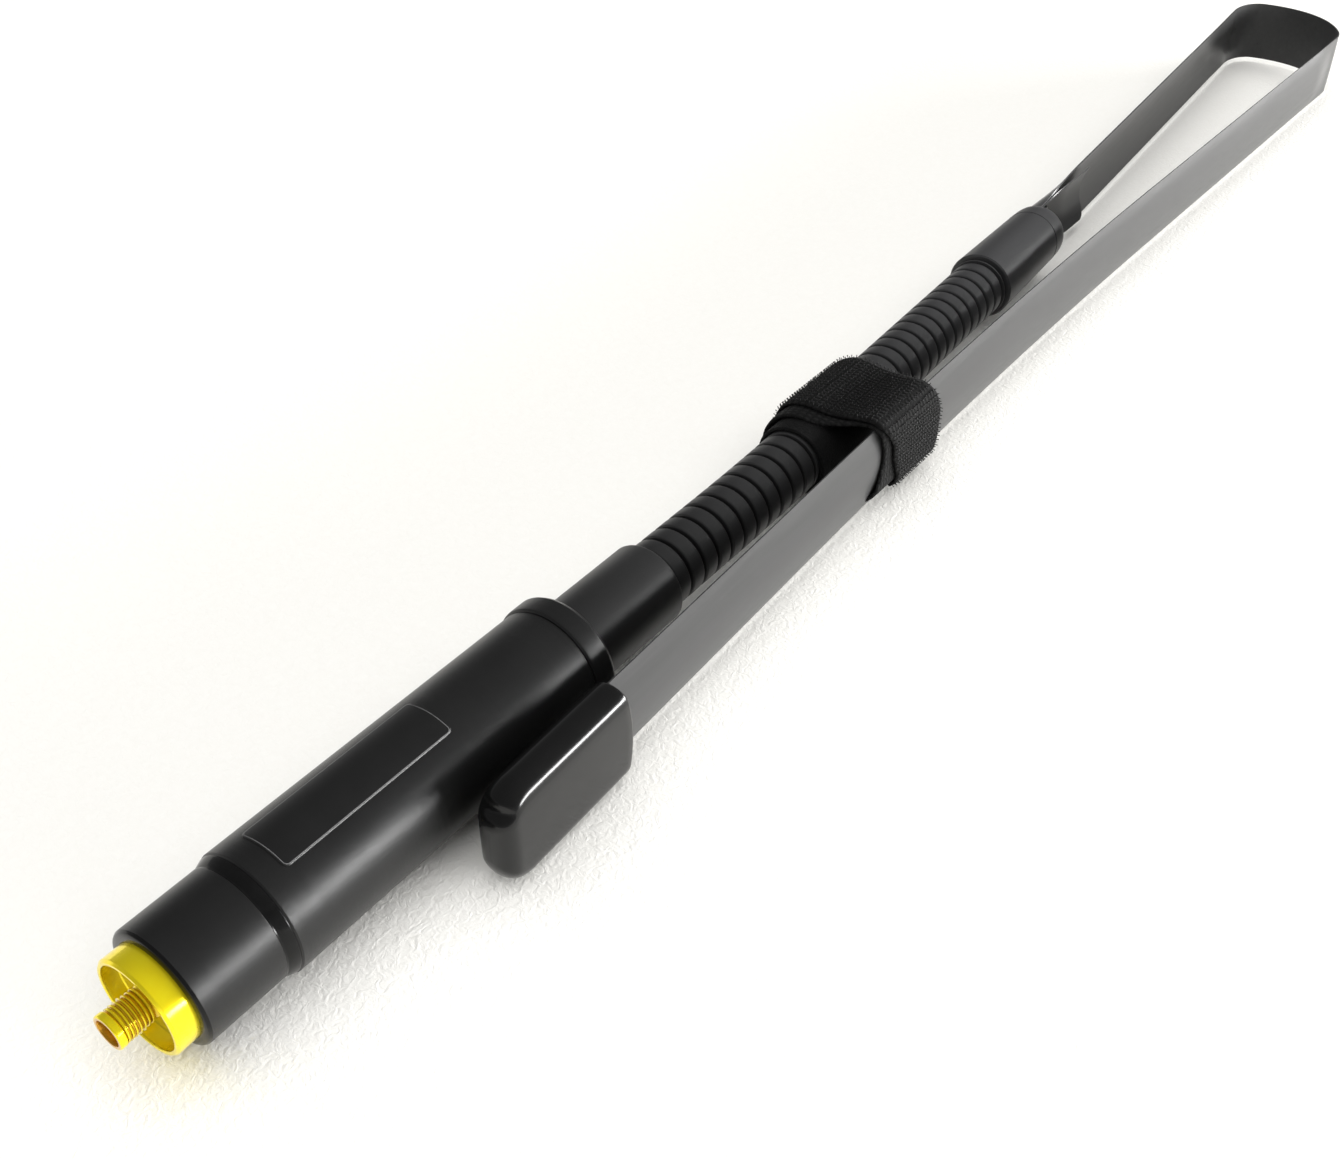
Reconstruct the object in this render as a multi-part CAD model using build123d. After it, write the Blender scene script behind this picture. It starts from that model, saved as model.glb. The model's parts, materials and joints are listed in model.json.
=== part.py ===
from build123d import *
import math
import os

# A folding tape-blade antenna with a gooseneck, for a hand-held radio or scanner, lying
# folded with its strap closed. Millimetres. x runs from the front of the jack along the
# housing, z is up, and the folded half of the blade lies on the -y side.

# ---- driving dimensions ----
FLOOR_Z = -12.2

# jack: a threaded barrel standing in a gold cup
THREAD_R = 3.175
THREAD_LENGTH = 8.2
BARREL_ROOT_R = 4.0
BARREL_END = 25.0
CONTACT_R = 0.65
CONTACT_BORE_R = 0.45
DIELECTRIC_R = 2.3
CUP_R = 9.04
CUP_WALL = 1.0
CUP_FRONT = 5.19
CUP_FLOOR = 10.3
CUP_BACK = 12.0
CUP_BEVEL = 0.3
INSULATOR_THICKNESS = 1.0
NUT_ACROSS_FLATS = 10.0
NUT_FRONT = 22.0

# housing: a short front sleeve, a bright shoulder and the long coil tube
SLEEVE_FRONT = 9.3
SLEEVE_R = 10.89
SHOULDER_FRONT = 24.5
HOUSING_FRONT = 26.8
HOUSING_BACK = 98.3
HOUSING_R = 11.73
HOUSING_WALL = 1.5
EDGE_ROUND = 0.6
SHOULDER_LIP = 0.8
SHOULDER_RISE = 0.1
SHOULDER_STEP = 0.2
SHOULDER_GROOVE = 0.4
LABEL_START = 31.4
LABEL_END = 68.3
LABEL_FIRST_ANGLE = 65.0
LABEL_LAST_ANGLE = 118.0
LABEL_THICKNESS = 0.15
COLLAR_R = 12.2
COLLAR_BACK = 104.0
COLLAR_FRONT_BEVEL = 0.3
COLLAR_BACK_BEVEL = 0.8
COIL_FORMER_START = 34.0
COIL_FORMER_END = 84.0
COIL_FORMER_R = 5.5
COIL_FLANGE_THICKNESS = 3.0
COIL_WIRE = 1.0

# gooseneck: turns of formed wire that nest like ball joints
FERRULE_R = 8.8
FERRULE_START = 92.0
NECK_START = 129.3
TURN_R = 7.3
TURN_PITCH = 4.58
TURN_GAP = 0.9
TURN_EDGE_ROUND = 0.8
TURN_BORE_R = 4.8
BALL_R = 6.2
SOCKET_R = 6.45
BALL_DEPTH = 1.2
BALL_ROOT_OVERLAP = 0.5
SOCKET_DEPTH = 2.3
BENDING_TURNS = 11
FIXED_TURNS = 21
NECK_STRAIGHT_END = 150.0
NECK_CURVE_END = 188.0
NECK_HEADING = 2.65
CABLE_R = 1.0
CABLE_BREAKS = (132.5, 146.2, 160.0, 173.7)
CABLE_GAP = 0.6
CABLE_END = 288.0

# upper ferrule, where the blade and its leaves are clamped
UPPER_FERRULE_BACK = 316.0
UPPER_FERRULE_R_START = 8.6
UPPER_FERRULE_R_END = 7.9
UPPER_FERRULE_MOUTH_R = 7.4
UPPER_FERRULE_BORE_R = 7.0
UPPER_FERRULE_DOME = ((7.0, 0.0), (3.0, 0.1), (1.0, 0.4))
FERRULE_BAND_LENGTH = 1.6
FERRULE_BAND_GAP = 0.2
FERRULE_BAND_R = 7.8
CLAMP_START = 289.0
CLAMP_END = 312.0
CLAMP_SEAT_END = 295.5
CLAMP_CLEARANCE = 0.05

# blade: one strip of curved spring tape
BLADE_WIDTH = 19.05
BLADE_THICKNESS = 0.4
BLADE_MIDDLE_Z = -1.25
BLADE_CURVE_R = 27.0
FLAT_CURVE_R = 400.0
ROOT_CURVE_R = 6.5
BLADE_ROOT_X = 296.0
BLADE_FREE_X = 314.0
BLADE_OPEN_X = 346.0
BLADE_OPEN_Y = 10.0
BLADE_HEADING = 4.38
FLATTENING_LENGTH = 18.0
BEND_START_X = 500.2
BEND_TURN = 185.5
BEND_RADII = (16.5, 9.5, 6.0, 29.5, 23.0, 25.5, 13.0)
BEND_GAP = 0.25
NEAR_STRAND_CURVE_START = 345.0
NEAR_STRAND_CURVE_END = 165.0
NEAR_STRAND_CURVE_TURN = 3.3
NEAR_STRAND_TIP = 64.0

# the two shorter leaves that stiffen the root of the blade
LONG_LEAF_R = 6.0
LONG_LEAF_WIDTH = 17.0
LONG_LEAF_OPEN_R = 9.2
LONG_LEAF_TIP_X = 350.0
SHORT_LEAF_R = 5.5
SHORT_LEAF_WIDTH = 15.0
SHORT_LEAF_TIP_X = 323.0
SHORT_LEAF_STEP = 1.3
LONG_LEAF_STEP = 1.2
LEAF_ROOT_X = 299.0

# dipped cap on the tip of the blade
CAP_MOUTH_X = 94.0
CAP_TIP_X = 60.0
CAP_INNER_Y = 3.6
CAP_OUTER_Y = 4.4
CAP_TOP_Z = 9.7
CAP_ROUND = 2.6
CAP_END_ROUND = 2.08
CAP_CLEARANCE = 0.15

# hook-and-loop strap that holds the folded blade against the neck
STRAP_THICKNESS = 1.1
STRAP_NECK_START = 181.0
STRAP_NECK_END = 213.5
STRAP_START = 188.0
STRAP_END = 218.0
STRAP_NECK_R = 7.45
STRAP_CREST_Y = 1.4
STRAP_TOP_Z = 9.9
STRAP_FOLD_Y = -14.3
STRAP_WALL_Y = -16.6
STRAP_CORNER_R = 2.2
STRAP_FOLD_GAP = 0.4
STRAP_NECK_GAP = 0.05
STRAP_FLOOR_GAP = 0.05
STRAP_LANDING_Y = -6.0
STRAP_UNDER_END_Y = -15.4
STRAP_SAG = 0.7


# ---- shapes along the x axis ----
def rod(start, end, radius):
    """A round bar along x."""
    standing = Cylinder(radius, end - start, align=(Align.CENTER, Align.CENTER, Align.MIN))
    return Pos(start, 0, 0) * Rot(0, 90, 0) * standing


def tube(start, end, outer, inner):
    """A round tube along x."""
    return rod(start, end, outer) - rod(start, end, inner)


def turned(outline):
    """A lathe-turned piece from (x, radius) points."""
    return revolve(make_face(Polyline(*outline, close=True)), Axis.X, 360)


def round_edges_at(piece, x, radius, size):
    """Rounds the circular edges of one radius that lie at one x."""
    rims = [
        edge
        for edge in piece.edges().filter_by(GeomType.CIRCLE)
        if abs(edge.center().X - x) < 0.01 and abs(edge.radius - radius) < 0.01
    ]
    return fillet(rims, size)


# ---- jack ----
def jack_barrel():
    front = rod(0, THREAD_LENGTH, THREAD_R)
    root = rod(THREAD_LENGTH, BARREL_END, BARREL_ROOT_R)
    return front + root - rod(0, BARREL_END, DIELECTRIC_R)


def contact_insulator():
    face_x = 1.6
    return tube(face_x, BARREL_END, DIELECTRIC_R, CONTACT_R)


def centre_contact():
    face_x = 0.8
    socket_depth = 5.0
    return rod(face_x, BARREL_END, CONTACT_R) - rod(face_x, face_x + socket_depth, CONTACT_BORE_R)


def gold_cup():
    inner = CUP_R - CUP_WALL
    return turned(
        [
            (CUP_FRONT, inner),
            (CUP_FRONT, CUP_R - CUP_BEVEL),
            (CUP_FRONT + CUP_BEVEL, CUP_R),
            (CUP_BACK, CUP_R),
            (CUP_BACK, BARREL_ROOT_R),
            (CUP_FLOOR, BARREL_ROOT_R),
            (CUP_FLOOR, inner),
        ]
    )


def cup_insulator():
    return tube(CUP_FLOOR - INSULATOR_THICKNESS, CUP_FLOOR, CUP_R - CUP_WALL, BARREL_ROOT_R)


def base_plug():
    return tube(CUP_BACK, NUT_FRONT, CUP_R, BARREL_ROOT_R)


def lock_nut():
    flats = RegularPolygon(NUT_ACROSS_FLATS / 2, 6, major_radius=False)
    hexagon = Pos(NUT_FRONT, 0, 0) * Rot(0, 90, 0) * extrude(flats, BARREL_END - NUT_FRONT)
    return hexagon - rod(NUT_FRONT, BARREL_END, BARREL_ROOT_R)


# ---- housing ----
def front_sleeve():
    sleeve = rod(SLEEVE_FRONT, SHOULDER_FRONT, SLEEVE_R)
    sleeve = round_edges_at(sleeve, SLEEVE_FRONT, SLEEVE_R, EDGE_ROUND)
    return sleeve - rod(SLEEVE_FRONT, SHOULDER_FRONT, CUP_R)


def shoulder_band():
    return turned(
        [
            (SHOULDER_FRONT, CUP_R),
            (SHOULDER_FRONT, SLEEVE_R),
            (SHOULDER_FRONT + SHOULDER_LIP, SLEEVE_R + SHOULDER_RISE),
            (HOUSING_FRONT - SHOULDER_GROOVE, HOUSING_R - SHOULDER_STEP),
            (HOUSING_FRONT, HOUSING_R - SHOULDER_STEP),
            (HOUSING_FRONT, CUP_R),
        ]
    )


def main_housing():
    shell = rod(HOUSING_FRONT, HOUSING_BACK, HOUSING_R)
    shell = round_edges_at(shell, HOUSING_FRONT, HOUSING_R, EDGE_ROUND / 2)
    return shell - rod(HOUSING_FRONT, HOUSING_BACK, HOUSING_R - HOUSING_WALL)


def housing_label():
    """A thin curved plate bonded to the top of the housing."""
    ring = tube(LABEL_START, LABEL_END, HOUSING_R + LABEL_THICKNESS, HOUSING_R)
    reach = 2 * HOUSING_R
    middle = math.radians((LABEL_FIRST_ANGLE + LABEL_LAST_ANGLE) / 2)
    spread = math.radians((LABEL_LAST_ANGLE - LABEL_FIRST_ANGLE) / 2)
    corners = [
        (0, 0),
        (reach * math.cos(middle - spread), reach * math.sin(middle - spread)),
        (reach * math.cos(middle + spread), reach * math.sin(middle + spread)),
    ]
    wedge_plane = Plane(origin=(LABEL_START, 0, 0), x_dir=(0, 1, 0), z_dir=(1, 0, 0))
    wedge = extrude(wedge_plane * make_face(Polyline(*corners, close=True)), LABEL_END - LABEL_START)
    return ring & wedge


def collar_ring():
    return turned(
        [
            (HOUSING_BACK, FERRULE_R),
            (HOUSING_BACK, COLLAR_R - COLLAR_FRONT_BEVEL),
            (HOUSING_BACK + COLLAR_FRONT_BEVEL, COLLAR_R),
            (COLLAR_BACK - COLLAR_BACK_BEVEL, COLLAR_R),
            (COLLAR_BACK, COLLAR_R - COLLAR_BACK_BEVEL),
            (COLLAR_BACK, FERRULE_R),
        ]
    )


def rear_bushing():
    return tube(FERRULE_START, HOUSING_BACK, HOUSING_R - HOUSING_WALL, FERRULE_R)


def coil_former():
    core = rod(COIL_FORMER_START, COIL_FORMER_END, COIL_FORMER_R)
    for start in (COIL_FORMER_START, COIL_FORMER_END - COIL_FLANGE_THICKNESS):
        core += rod(start, start + COIL_FLANGE_THICKNESS, HOUSING_R - HOUSING_WALL)
    return core - rod(COIL_FORMER_START, COIL_FORMER_END, CABLE_R)


def matching_coil():
    """The close-wound coil, as the outer form of its windings."""
    margin = 2 * COIL_FLANGE_THICKNESS
    start = COIL_FORMER_START + margin
    end = COIL_FORMER_END - margin
    return tube(start, end, COIL_FORMER_R + COIL_WIRE, COIL_FORMER_R)


# ---- neck ----
def neck_place(x):
    """Where the neck's centre line is at x, turned to its heading there."""
    full = math.radians(NECK_HEADING)
    radius = (NECK_CURVE_END - NECK_STRAIGHT_END) / full
    along = min(max(x - NECK_STRAIGHT_END, 0), NECK_CURVE_END - NECK_STRAIGHT_END)
    heading = along / radius
    y = radius * (1 - math.cos(heading)) + max(x - NECK_CURVE_END, 0) * math.tan(full)
    return Pos(x, y, 0) * Rot(0, 0, math.degrees(heading))


def socket_at(x):
    """The spherical hollow that the next turn's ball sits in."""
    return (Pos(x, 0, 0) * Sphere(SOCKET_R)) & rod(x - SOCKET_DEPTH, x, TURN_R)


def neck_turn():
    """One turn, with its middle at the origin, a ball at the left and a socket at the right."""
    half = (TURN_PITCH - TURN_GAP) / 2
    left_pivot = -TURN_PITCH / 2
    right_pivot = TURN_PITCH / 2
    band = rod(-half, half, TURN_R)
    for side in (-half, half):
        band = round_edges_at(band, side, TURN_R, TURN_EDGE_ROUND)
    ball_zone = rod(left_pivot - BALL_DEPTH, -half + BALL_ROOT_OVERLAP, TURN_R)
    ball = (Pos(left_pivot, 0, 0) * Sphere(BALL_R)) & ball_zone
    turn = band + ball - socket_at(right_pivot)
    return turn - rod(-TURN_PITCH * 2, TURN_PITCH, TURN_BORE_R)


def turn_middle(index):
    """The x of the middle of a turn, the first being number 0."""
    return NECK_START + (index + 0.5) * TURN_PITCH


def lower_ferrule():
    back = NECK_START - TURN_GAP / 2
    sleeve = rod(FERRULE_START, back, FERRULE_R)
    sleeve = round_edges_at(sleeve, back, FERRULE_R, EDGE_ROUND)
    return sleeve - rod(FERRULE_START, back, TURN_BORE_R) - socket_at(NECK_START)


def cable_piece(start, end):
    """One straight piece of the inner cable."""
    place = neck_place((start + end) / 2)
    half = (end - start) / 2
    return place * rod(-half, half, CABLE_R)


def upper_neck_turns():
    """The turns above the bending part, held by the strap."""
    first = BENDING_TURNS
    turns = [neck_place(turn_middle(i)) * neck_turn() for i in range(first, first + FIXED_TURNS)]
    return Compound(children=turns)


# ---- upper ferrule ----
def upper_ferrule_start():
    return NECK_START + (BENDING_TURNS + FIXED_TURNS) * TURN_PITCH + FERRULE_BAND_LENGTH


def upper_ferrule():
    """A tapered sleeve that draws in over its last few millimetres."""
    start = upper_ferrule_start()
    length = UPPER_FERRULE_BACK - start
    outline = [(0, UPPER_FERRULE_BORE_R), (0, UPPER_FERRULE_R_START)]
    for before_end, drop in UPPER_FERRULE_DOME:
        outline.append((length - before_end, UPPER_FERRULE_R_END - drop))
    outline.append((length, UPPER_FERRULE_MOUTH_R))
    outline.append((length, UPPER_FERRULE_BORE_R))
    return neck_place(start) * turned(outline)


def ferrule_band():
    """The thin ring between the last turn and the upper ferrule."""
    place = neck_place(upper_ferrule_start() - FERRULE_BAND_LENGTH)
    return place * tube(FERRULE_BAND_GAP, FERRULE_BAND_LENGTH, FERRULE_BAND_R, TURN_BORE_R)


def blade_clamp():
    """The plug that the blade and its leaves are clamped round, with a wide foot."""
    place = neck_place(CLAMP_START)
    plug = rod(0, CLAMP_END - CLAMP_START, SHORT_LEAF_R - BLADE_THICKNESS / 2 - CLAMP_CLEARANCE)
    seat = rod(0, CLAMP_SEAT_END - CLAMP_START, UPPER_FERRULE_BORE_R)
    return place * (plug + seat)


# ---- blade ----
def tape_face(x, y, heading, radius, width, middle_z, shift=0.0, clearance=0.0):
    """The cross-section of the tape. x and y place its two long edges, and it bulges to the left
    of its heading, which is the outside of the loop. shift moves it that way, and clearance
    grows it all round."""
    turn = math.radians(heading)
    plane = Plane(
        origin=(x, y, middle_z),
        x_dir=(-math.sin(turn), math.cos(turn), 0),
        z_dir=(math.cos(turn), math.sin(turn), 0),
    )
    half_angle = (width / 2 + clearance) / radius
    centre = shift - radius * math.cos(width / 2 / radius)

    def point(r, angle):
        return (centre + r * math.cos(angle), r * math.sin(angle))

    outer = radius + BLADE_THICKNESS / 2 + clearance
    inner = radius - BLADE_THICKNESS / 2 - clearance
    outline = [
        ThreePointArc(point(outer, -half_angle), point(outer, 0), point(outer, half_angle)),
        Line(point(outer, half_angle), point(inner, half_angle)),
        ThreePointArc(point(inner, half_angle), point(inner, 0), point(inner, -half_angle)),
        Line(point(inner, -half_angle), point(outer, -half_angle)),
    ]
    return plane * make_face(outline)


def nested_face(x, radius, width):
    """The cross-section of a leaf where it lies round the neck's centre line."""
    place = neck_place(x)
    edge_shift = radius * math.cos(width / 2 / radius)
    return tape_face(x, place.position.Y, NECK_HEADING, radius, width, 0.0, edge_shift)


def lofted_strip(sections):
    """One solid through a row of cross-sections."""
    strip = loft(sections[:2], ruled=True)
    for before, after in zip(sections[1:-1], sections[2:]):
        strip += loft([before, after], ruled=True)
    return strip


def open_line_y(x):
    """The y of the blade's edges on the far side of the loop."""
    return BLADE_OPEN_Y + (x - BLADE_OPEN_X) * math.tan(math.radians(BLADE_HEADING))


def far_strand():
    """From the ferrule to the fold: curled at the root, then open, then flat."""
    flat_x = BEND_START_X - BEND_GAP / 2
    curved_x = flat_x - FLATTENING_LENGTH

    def open_face(x, radius):
        return tape_face(x, open_line_y(x), BLADE_HEADING, radius, BLADE_WIDTH, BLADE_MIDDLE_Z)

    return lofted_strip(
        [
            nested_face(BLADE_ROOT_X, ROOT_CURVE_R, BLADE_WIDTH),
            nested_face(BLADE_FREE_X, ROOT_CURVE_R, BLADE_WIDTH),
            open_face(BLADE_OPEN_X, BLADE_CURVE_R),
            open_face(curved_x, BLADE_CURVE_R),
            open_face(flat_x, FLAT_CURVE_R),
        ]
    )


def leaf(radius, width, tip_x, open_radius, tip_edge_y):
    """A shorter leaf that lies inside the blade's curl and ends a little past the ferrule."""
    root = nested_face(LEAF_ROOT_X, radius, width)
    free = nested_face(BLADE_FREE_X, radius, width)
    tip = tape_face(tip_x, tip_edge_y, BLADE_HEADING, open_radius, width, BLADE_MIDDLE_Z / 2)
    return lofted_strip([root, free, tip])


def long_leaf():
    blade_belly = BLADE_CURVE_R * (1 - math.cos(BLADE_WIDTH / 2 / BLADE_CURVE_R))
    depth = LONG_LEAF_OPEN_R * (1 - math.cos(LONG_LEAF_WIDTH / 2 / LONG_LEAF_OPEN_R))
    edge_y = open_line_y(LONG_LEAF_TIP_X) + blade_belly - depth - LONG_LEAF_STEP
    return leaf(LONG_LEAF_R, LONG_LEAF_WIDTH, LONG_LEAF_TIP_X, LONG_LEAF_OPEN_R, edge_y)


def short_leaf():
    place = neck_place(SHORT_LEAF_TIP_X)
    edge_reach = SHORT_LEAF_R * math.cos(SHORT_LEAF_WIDTH / 2 / SHORT_LEAF_R)
    edge_y = place.position.Y + edge_reach - SHORT_LEAF_STEP
    return leaf(SHORT_LEAF_R, SHORT_LEAF_WIDTH, SHORT_LEAF_TIP_X, SHORT_LEAF_R, edge_y)


def bend_stations():
    """Where each bend segment starts: x, y and heading, and last where the bend ends."""
    x = BEND_START_X
    y = open_line_y(BEND_START_X)
    heading = BLADE_HEADING
    turn = BEND_TURN / len(BEND_RADII)
    stations = [(x, y, heading)]
    for radius in BEND_RADII:
        chord = 2 * radius * math.sin(math.radians(turn / 2))
        direction = math.radians(heading - turn / 2)
        x += chord * math.cos(direction)
        y += chord * math.sin(direction)
        heading -= turn
        stations.append((x, y, heading))
    return stations


def bend_segment(index):
    """One flat arc of the fold, short of its two hinge lines by half a gap each."""
    x, y, heading = bend_stations()[index]
    radius = BEND_RADII[index]
    trim = math.degrees(BEND_GAP / 2 / radius)
    turn = BEND_TURN / len(BEND_RADII)
    to_centre = math.radians(heading - 90)
    centre_x = x + radius * math.cos(to_centre)
    centre_y = y + radius * math.sin(to_centre)
    first = heading + 90 - trim
    last = heading + 90 - turn + trim

    def point(r, angle):
        return (
            centre_x + r * math.cos(math.radians(angle)),
            centre_y + r * math.sin(math.radians(angle)),
        )

    outer = radius + BLADE_THICKNESS / 2
    inner = radius - BLADE_THICKNESS / 2
    middle = (first + last) / 2
    outline = [
        ThreePointArc(point(outer, first), point(outer, middle), point(outer, last)),
        Line(point(outer, last), point(inner, last)),
        ThreePointArc(point(inner, last), point(inner, middle), point(inner, first)),
        Line(point(inner, first), point(outer, first)),
    ]
    bottom = BLADE_MIDDLE_Z - BLADE_WIDTH / 2
    return Pos(0, 0, bottom) * extrude(make_face(outline), BLADE_WIDTH)


def near_line():
    """The edges' line on the near side of the loop: straight, a long arc, straight to the tip."""
    start_x, start_y, heading = bend_stations()[-1]
    line = [(start_x, start_y, heading)]
    x, y = start_x, start_y

    def step(length, direction):
        turn = math.radians(direction)
        return x + length * math.cos(turn), y + length * math.sin(turn)

    x, y = step(start_x - NEAR_STRAND_CURVE_START, heading)
    line.append((x, y, heading))
    x, y = step(NEAR_STRAND_CURVE_START - NEAR_STRAND_CURVE_END, heading + NEAR_STRAND_CURVE_TURN / 2)
    heading += NEAR_STRAND_CURVE_TURN
    line.append((x, y, heading))
    x, y = step(x - NEAR_STRAND_TIP, heading)
    line.append((x, y, heading))
    return line


def near_strand():
    """From the fold back to the tip inside the cap."""
    start, bow_start, bow_end, tip = near_line()
    turn = math.radians(start[2])

    def along_start(distance):
        return (start[0] + distance * math.cos(turn), start[1] + distance * math.sin(turn), start[2])

    bow_middle = [(a + b) / 2 for a, b in zip(bow_start, bow_end)]
    bow_middle[1] += bow_rise(bow_start, bow_end)
    curved = [along_start(FLATTENING_LENGTH), bow_start, bow_middle, bow_end, tip]
    sections = [tape_face(*along_start(BEND_GAP / 2), FLAT_CURVE_R, BLADE_WIDTH, BLADE_MIDDLE_Z)]
    for x, y, heading in curved:
        sections.append(tape_face(x, y, heading, BLADE_CURVE_R, BLADE_WIDTH, BLADE_MIDDLE_Z))
    return lofted_strip(sections)


def bow_rise(first, last):
    """How far the near strand's bow stands off its chord, towards the neck."""
    length = math.dist(first[:2], last[:2])
    return length * math.radians(NEAR_STRAND_CURVE_TURN) / 8


# ---- end cap ----
def end_cap():
    """A dipped soft cap: a rounded block with a slot that the tip of the blade slips into."""
    bow_end, tip = near_line()[-2:]
    heading = tip[2]
    place = Pos(tip[0], tip[1], 0) * Rot(0, 0, heading - 180)
    closed_end = CAP_TIP_X - NEAR_STRAND_TIP
    block = Box(
        CAP_MOUTH_X - CAP_TIP_X,
        CAP_INNER_Y + CAP_OUTER_Y,
        CAP_TOP_Z - FLOOR_Z,
        align=(Align.MIN, Align.MIN, Align.MIN),
    )
    block = fillet(block.edges().filter_by(Axis.X), CAP_ROUND)
    block = fillet(block.faces().sort_by(Axis.X)[0].edges(), CAP_END_ROUND)
    block = place * Pos(closed_end, -CAP_OUTER_Y, FLOOR_Z) * block
    turn = math.radians(heading)
    slot_start = (tip[0] + math.cos(turn), tip[1] + math.sin(turn))
    slot_faces = []
    for x, y in (slot_start, bow_end[:2]):
        slot_faces.append(
            tape_face(
                x, y, heading, BLADE_CURVE_R, BLADE_WIDTH, BLADE_MIDDLE_Z, clearance=CAP_CLEARANCE
            )
        )
    return block - loft(slot_faces, ruled=True)


# ---- strap ----
def strap_sheet(start, end, outline):
    """A strip of strap between two x, from its outline across the antenna as (y, z) points."""
    plane = Plane(origin=(start, 0, 0), x_dir=(0, 1, 0), z_dir=(1, 0, 0))
    return extrude(plane * make_face(Polyline(*outline, close=True)), end - start)


def strap_neck_turn():
    middle = (STRAP_NECK_START + STRAP_NECK_END) / 2
    half = (STRAP_NECK_END - STRAP_NECK_START) / 2
    return neck_place(middle) * tube(-half, half, STRAP_NECK_R + STRAP_THICKNESS, STRAP_NECK_R)


def strap_bottom_run():
    """The strap's lower side, from under the neck to under the near strand."""
    neck_z = -STRAP_NECK_R - STRAP_THICKNESS
    return strap_sheet(
        STRAP_START,
        STRAP_END,
        [
            (STRAP_CREST_Y, neck_z - STRAP_THICKNESS),
            (STRAP_LANDING_Y, FLOOR_Z),
            (STRAP_UNDER_END_Y, FLOOR_Z),
            (STRAP_UNDER_END_Y, FLOOR_Z + STRAP_THICKNESS),
            (STRAP_LANDING_Y, FLOOR_Z + STRAP_THICKNESS),
            (STRAP_CREST_Y, neck_z - STRAP_NECK_GAP),
        ],
    )


def strap_bridge():
    """The lifting run over the gap, from the crest of the neck to above the near strand."""
    under_z = STRAP_TOP_Z - STRAP_THICKNESS
    middle_y = (STRAP_CREST_Y + STRAP_FOLD_Y) / 2
    half_gap = STRAP_FOLD_GAP / 2
    return strap_sheet(
        STRAP_START,
        STRAP_END,
        [
            (STRAP_CREST_Y - half_gap, STRAP_TOP_Z),
            (middle_y, STRAP_TOP_Z - STRAP_SAG),
            (STRAP_FOLD_Y + half_gap, STRAP_TOP_Z),
            (STRAP_FOLD_Y + half_gap, under_z),
            (middle_y, under_z - STRAP_SAG),
            (STRAP_CREST_Y - half_gap, under_z),
        ],
    )


def strap_tail():
    """The end that closes down the outer side of the near strand."""
    fold_y = STRAP_FOLD_Y - STRAP_FOLD_GAP / 2
    outer_y = STRAP_WALL_Y - STRAP_THICKNESS
    bottom = FLOOR_Z + STRAP_FLOOR_GAP
    corner = STRAP_CORNER_R
    plane = Plane(origin=(STRAP_START, 0, 0), x_dir=(0, 1, 0), z_dir=(1, 0, 0))
    under_z = STRAP_TOP_Z - STRAP_THICKNESS
    inner_corner = corner - STRAP_THICKNESS
    slant = math.sqrt(0.5)
    outline = [
        Line((fold_y, under_z), (fold_y, STRAP_TOP_Z)),
        Line((fold_y, STRAP_TOP_Z), (outer_y + corner, STRAP_TOP_Z)),
        ThreePointArc(
            (outer_y + corner, STRAP_TOP_Z),
            (outer_y + corner * (1 - slant), STRAP_TOP_Z - corner * (1 - slant)),
            (outer_y, STRAP_TOP_Z - corner),
        ),
        Line((outer_y, STRAP_TOP_Z - corner), (outer_y, bottom)),
        Line((outer_y, bottom), (STRAP_WALL_Y, bottom)),
        Line((STRAP_WALL_Y, bottom), (STRAP_WALL_Y, under_z - inner_corner)),
        ThreePointArc(
            (STRAP_WALL_Y, under_z - inner_corner),
            (STRAP_WALL_Y + inner_corner * (1 - slant), under_z - inner_corner * (1 - slant)),
            (STRAP_WALL_Y + inner_corner, under_z),
        ),
        Line((STRAP_WALL_Y + inner_corner, under_z), (fold_y, under_z)),
    ]
    return extrude(plane * make_face(outline), STRAP_END - STRAP_START)


# ---- all the pieces ----
def all_pieces():
    pieces = {
        "jack_barrel": jack_barrel(),
        "contact_insulator": contact_insulator(),
        "centre_contact": centre_contact(),
        "gold_cup": gold_cup(),
        "cup_insulator": cup_insulator(),
        "base_plug": base_plug(),
        "lock_nut": lock_nut(),
        "front_sleeve": front_sleeve(),
        "shoulder_band": shoulder_band(),
        "main_housing": main_housing(),
        "housing_label": housing_label(),
        "collar_ring": collar_ring(),
        "rear_bushing": rear_bushing(),
        "coil_former": coil_former(),
        "matching_coil": matching_coil(),
        "lower_ferrule": lower_ferrule(),
        "upper_neck_turns": upper_neck_turns(),
        "ferrule_band": ferrule_band(),
        "upper_ferrule": upper_ferrule(),
        "blade_clamp": blade_clamp(),
        "long_leaf": long_leaf(),
        "short_leaf": short_leaf(),
        "far_strand": far_strand(),
        "near_strand": near_strand(),
        "end_cap": end_cap(),
        "strap_neck_turn": strap_neck_turn(),
        "strap_bottom_run": strap_bottom_run(),
        "strap_bridge": strap_bridge(),
        "strap_tail": strap_tail(),
    }
    turn = neck_turn()
    for index in range(BENDING_TURNS):
        pieces[f"neck_turn_{index + 1:02d}"] = neck_place(turn_middle(index)) * turn
    for index in range(len(BEND_RADII)):
        pieces[f"bend_{index + 1}"] = bend_segment(index)
    starts = (BARREL_END,) + tuple(x + CABLE_GAP for x in CABLE_BREAKS)
    for index, (start, end) in enumerate(zip(starts, CABLE_BREAKS + (CABLE_END,))):
        pieces[f"cable_{index + 1}"] = cable_piece(start, end)
    return pieces


os.makedirs("parts", exist_ok=True)
for name, piece in all_pieces().items():
    piece.label = name
    export_step(piece, f"parts/{name}.step")
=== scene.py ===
import json
import math
import random
import bmesh
import bpy
from mathutils import Matrix, Vector


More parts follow.
